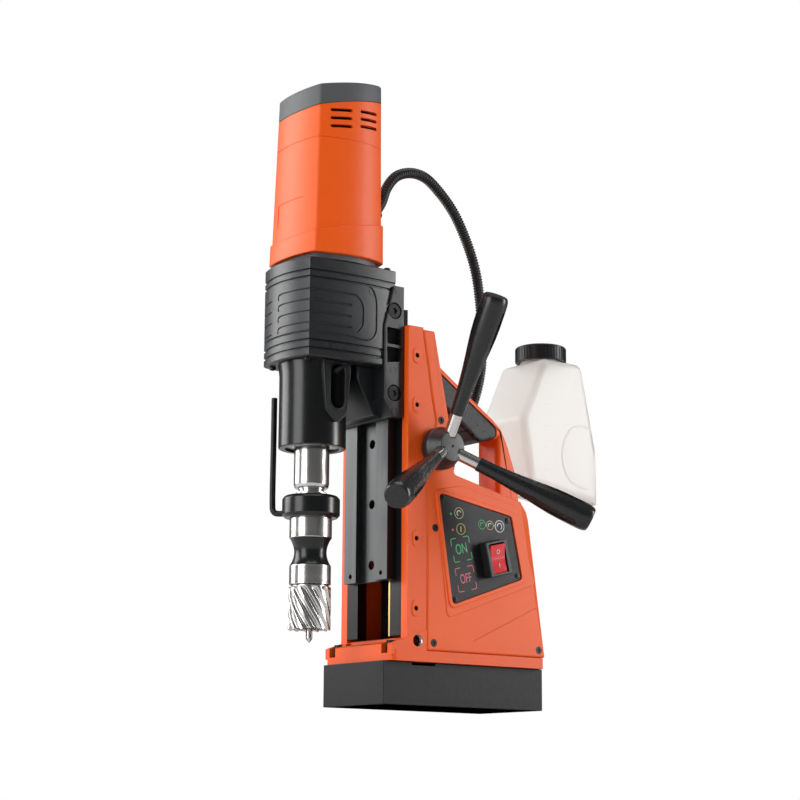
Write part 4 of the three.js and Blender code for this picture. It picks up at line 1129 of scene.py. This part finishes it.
def make_panel():
    plate = soft_prism("control_panel_fine", grown_panel(0), 54.95, PANEL_FACE, 0.6, steps=2, ends=(0, 1))
    screws = []
    cy, cz = (sum(p[k] for p in PANEL) / 4 for k in (0, 1))
    for y, z in PANEL:
        d = Vector((y - cy, z - cz))
        d = d.normalized() * (d.length - 6.2)
        screws.append(lathe("screw", [(0, 56), (2.9, 56), (2.9, 56.9), (2.3, 57.5), (1.1, 57.6),
            (1.1, 56.9), (0, 56.9)], (0, cy + d.x, cz + d.y), "x", 24))
    cut(plate, prism("hole", switch_outline(14.7, 18.1), 40, 70))
    dress(plate, "base", "panel_film", "control_panel")
    dress(merge("panel_screws", screws), "base", "black_steel")

    marks = [ring_mark(*values) for values in RING_MARKS] + [stroke(*values) for values in DASHES]
    marks += [arc(*values) for values in ARC_MARKS]
    marks += bracket_frame(*ON_FIELD, "print_green") + bracket_frame(*OFF_FIELD, "print_red")
    marks.append(lettering("ON", *ON_FIELD, 14.6, "print_green", 0.66))
    marks.append(lettering("OFF", *OFF_FIELD, 13.6, "print_red", 0.62))
    dress(merge("panel_print", marks), "base", "print_white", angle=60)

    bezel = cut(soft_prism("switch_bezel_fine", switch_outline(14.4, 17.8, 2), 46, SWITCH_FRONT, 1.0,
        ends=(0, 1)), prism("opening", switch_outline(10.2, 15.4, 1), 49, SWITCH_FRONT + 2))
    dress(bezel, "base", "black_plastic", "switch_bezel")


def make_rocker():
    half = ROCKER_HALF
    profile = [(-6, -7), (3.2, -half), (5.4, -half)]
    for i in range(1, 12):
        v = -half + 2 * half * i / 12
        profile.append((3.4 + 2.0 * (abs(v) / half) ** 1.3, v))
    profile += [(5.4, half), (3.2, half), (-6, 7)]
    body = soft_prism("rocker_fine", profile, -9.5, 9.5, 0.7, "y", steps=3)
    pose = (Matrix.Translation(Vector((SWITCH_X, *SWITCH)) * MM) @ Matrix.Rotation(PANEL_TILT, 4, "X")
        @ Matrix.Rotation(ROCKER_TILT, 4, "Y"))
    letters = []
    for z, part in ((7, "ring"), (-6.6, "bar")):
        if part == "ring":
            obj = lathe("o", ring(1.5, 2.2, 4.4, 4.62), (0, 0, z), "x", 32)
        else:
            obj = prism("i", [(-0.35, z - 2), (0.35, z - 2), (0.35, z + 2), (-0.35, z + 2)], 4.3, 4.58)
        letters.append(paint(obj, "print_white"))
    letters = merge("rocker_letters", letters)
    for obj in (body, letters):
        obj.data.transform(pose)
    dress(body, "rocker", "red_lens", "power_rocker")
    dress(letters, "rocker", "print_white")


make_panel()
make_rocker()

# ---------- feed hub and spokes ----------
FLAT_START, FLAT_LENGTH, FLAT_DEPTH = 88, 60, 9.8
SPOKE_LEAN = radians(29.5)
SPOKE_ANGLES = [radians(a) for a in (90, -30, 210)]


def spoke_turn(angle):
    reach = cos(SPOKE_LEAN)
    out = Vector((sin(SPOKE_LEAN), reach * cos(angle), reach * sin(angle)))
    return Vector((0, 0, 1)).rotation_difference(out).to_matrix().to_4x4()


def make_feed():
    centre = (0, *FEED[1:])
    hub = lathe("feed_hub_fine", [(0, 56.6), (20.7, 56.6), (21.3, 56.9), (21.5, 57.5), (21.5, 64.2),
        (21.2, 64.9), (20.4, 65.6), (15.7, 78.3), (15.2, 79.2), (14.3, 79.6), (0, 79.6)], centre, "x", 96)
    cut(hub, lathe("bore", rod(8.3, 50, 71.4), centre, "x"), lathe("centre", rod(1.3, 77.5, 82), centre,
        "x", 24), *(lathe("socket", rod(6.5, 13, 50), FEED, turn=spoke_turn(angle))
        for angle in SPOKE_ANGLES))
    dress(bevel(hub, 0.4), "feed", "black_casting", "feed_hub", angle=30)

    for i, angle in enumerate(SPOKE_ANGLES):
        turn = spoke_turn(angle)
        spoke = lathe("rod", [(0, 13.6), (5.8, 13.6), (6.2, 14), (6.2, 69.1), (5.8, 69.5), (0, 69.5)], FEED,
            turn=turn)
        dress(spoke, "feed", "bright_steel", f"spoke_rod_{i + 1}")
        # Three long shallow flats lie along the thick part.
        profile = [(6.5, 36), (6.9, 36), (7.2, 36.6), (7.3, 46), (7.6, 56), (8.3, 68), (9.2, 80),
            (10.6, 95), (12, 108), (13.1, 120), (13.6, 132), (13.7, 150), (13.5, 155), (13.1, 158),
            (12.3, 160.4), (11.2, 161.7), (9.6, 162), (0, 162), (0, 72), (6.5, 70), (6.5, 36)]
        grip = lathe("grip", profile, (0, 0, 0), segments=72)
        flats = []
        for k in range(3):
            path = rounded([(-4.0, FLAT_START), (4.0, FLAT_START), (4.4, FLAT_START + FLAT_LENGTH),
                (-4.4, FLAT_START + FLAT_LENGTH)], 4, 8)
            flat = loft("flat", [[(FLAT_DEPTH + (z - FLAT_START) * 0.035, u, z) for u, z in path],
                [(FLAT_DEPTH + 8.3, u, z) for u, z in path]])
            flat.data.transform(Matrix.Rotation(2 * pi * k / 3 + radians(25), 4, "Z"))
            flats.append(flat)
        cut(grip, *flats)
        grip.data.transform(Matrix.Translation(Vector(FEED) * MM) @ turn)
        bevel(grip, 0.5, 3, 30)
        dress(grip, "feed", "grip_gloss", f"spoke_grip_{i + 1}", angle=32)


make_feed()

# ---------- coolant bottle ----------
BOTTLE_SIDE = [(131, 244.6), (119.4, 316.4), (151, 385.8), (208, 386), (243, 229.5)]
BOTTLE_CORNERS = [11, 14, 11, 11, 11]
BOTTLE_X = (-72, 2)
BOTTLE_NECK_Y = 178


def bottle_solid(name, depth):
    return soft_prism(name, inset(rounded(BOTTLE_SIDE, BOTTLE_CORNERS, 8), depth), BOTTLE_X[0] + depth,
        BOTTLE_X[1] - depth, 9 - depth, steps=7)


def bottle_rear(depth, start, run, end):
    """The space behind the bottle's slanting rear corners."""
    left, right = BOTTLE_X
    return prism("rear", [(left + depth, start), (left + run, end), (right - run, end),
        (right - depth, start), (40, start), (40, 300), (-120, 300), (-120, start)], 200, 420, "z")


def make_bottle():
    x, y = sum(BOTTLE_X) / 2, BOTTLE_NECK_Y
    body = bottle_solid("coolant_bottle_fine", 0)
    cut(body, bottle_rear(0, 224, 22, 246))
    neck = lathe("neck", rod(23, 378, 402), (x, y, 0))
    fuse(body, neck)
    # a broad embossed arc and ticks on the right side
    arc_path = [(214, 315), (203, 315), (188, 309), (178, 292), (177, 272), (185, 255), (201, 248),
        (212, 247)]
    band = sweep("band", [Vector((BOTTLE_X[1] - 0.6, p.x, p.y))
        for p in spline([(a, b, 0) for a, b in arc_path], 3)], [1.9], 10)
    ticks = [sweep("tick", [Vector((BOTTLE_X[1] - 0.1, y0, z)) for y0 in (150, 158)], [0.5], 8)
        for z in (262, 286, 310, 334, 358)]
    fuse(body, band)
    fuse(body, *ticks)
    inner = bottle_solid("inner", 2)
    cut(inner, bottle_rear(2, 222, 23, 243.6))
    bore = lathe("bore", rod(20.5, 375, 410), (x, y, 0))
    cut(body, inner, bore)
    dress(body, "bottle", "tank_plastic", "coolant_bottle", angle=35)

    cap = lathe("bottle_cap_fine", [(23.4, 389), (27.6, 389), (27.9, 389.4), (27.9, 404.8), (27.2, 405.7),
        (26, 406.2), (0, 406.2), (0, 402.6), (23.4, 402.6), (23.4, 389)], (x, y, 0), segments=96)
    ribs = []
    for k in range(48):
        a = 2 * pi * k / 48
        ribs.append(prism("rib", [(x + 27.6 * cos(a + s) + g * cos(a), y + 27.6 * sin(a + s) + g * sin(a))
            for s, g in ((-0.028, 0), (-0.02, 0.85), (0.02, 0.85), (0.028, 0))], 389.6, 404.2, "z"))
    fuse(cap, merge("ribs", ribs))
    dress(cap, "cap", "black_plastic", "bottle_cap", angle=30)
    refine("bottle_bracket", "magnet_paint", 0.5)


make_bottle()

# ---------- everything else keeps its CAD shape ----------
for cad_node in ("magnet_coil", "foot_bolt_left", "foot_bolt_right", "gib_strip", "circuit_board",
        "feed_bush", "conduit_gland_lower", "mains_cable_gland", "pinion_shaft", "rack", "clamp_bolt_1",
        "clamp_bolt_2", "motor_flange", "stator", "conduit_gland_upper", "armature", "idler_gear",
        "spindle_gear"):
    refine(cad_node, None, 0)

# ---------- studio ----------
FLOOR_Z = -0.0004


def mix_shaders(tree, factor, first, second, output):
    mix = tree.nodes.new("ShaderNodeMixShader")
    for link in ((factor, mix.inputs["Fac"]), (first, mix.inputs[1]), (second, mix.inputs[2]),
            (mix.outputs["Shader"], output.inputs["Surface"])):
        tree.links.new(*link)


def make_floor():
    floor = new_object("floor", [(-6000, -6000, 0), (6000, -6000, 0), (6000, 6000, 0), (-6000, 6000, 0)],
        [[0, 1, 2, 3]])
    floor.location.z = FLOOR_Z
    mat = shader("floor", (0.86, 0.86, 0.85), 0.7, vary=0.01, vary_scale=3, bump=0)
    # The photograph looks up from below the floor's level, so the floor shows only from above.
    tree = mat.node_tree
    facing = tree.nodes.new("ShaderNodeNewGeometry")
    clear = tree.nodes.new("ShaderNodeBsdfTransparent")
    mix_shaders(tree, facing.outputs["Backfacing"], tree.nodes["Principled BSDF"].outputs["BSDF"],
        clear.outputs["BSDF"], tree.nodes["Material Output"])
    floor.data.materials.append(mat)


def area_light(name, at, aim, size, power):
    data = bpy.data.lights.new(name, "AREA")
    data.shape = "RECTANGLE"
    data.size, data.size_y = size
    data.energy = power
    light = add_object(name, data)
    light.location = at
    light.rotation_euler = (Vector(aim) - Vector(at)).to_track_quat("-Z", "Y").to_euler()


def make_world():
    world = bpy.data.worlds.new("studio")
    bpy.context.scene.world = world
    world.use_nodes = True
    tree = world.node_tree
    seen, unseen = tree.nodes["Background"], tree.nodes.new("ShaderNodeBackground")
    seen.inputs["Color"].default_value = (1, 1, 1, 1)
    seen.inputs["Strength"].default_value = 1.0
    unseen.inputs["Color"].default_value = (1, 1, 1, 1)
    unseen.inputs["Strength"].default_value = 0.13
    path = tree.nodes.new("ShaderNodeLightPath")
    through = tree.nodes.new("ShaderNodeMath")
    through.operation = "MAXIMUM"
    tree.links.new(path.outputs["Is Camera Ray"], through.inputs[0])
    tree.links.new(path.outputs["Is Transmission Ray"], through.inputs[1])
    mix_shaders(tree, through.outputs["Value"], unseen.outputs["Background"], seen.outputs["Background"],
        tree.nodes["World Output"])


make_floor()
make_world()
MIDDLE = (0, -0.04, 0.3)
area_light("front", (0.2, -2.5, 0.8), MIDDLE, (1.3, 2.2), 44)
area_light("left", (-2.1, -1.7, 1.3), MIDDLE, (1.6, 1.8), 52)
area_light("right", (1.6, 2.0, 0.7), MIDDLE, (0.7, 1.9), 52)
area_light("top", (0.3, -0.2, 2.4), MIDDLE, (1.6, 1.6), 22)
area_light("low", (1.2, -1.6, -0.9), MIDDLE, (1.0, 1.0), 8)
bpy.context.scene.view_settings.view_transform = "Standard"
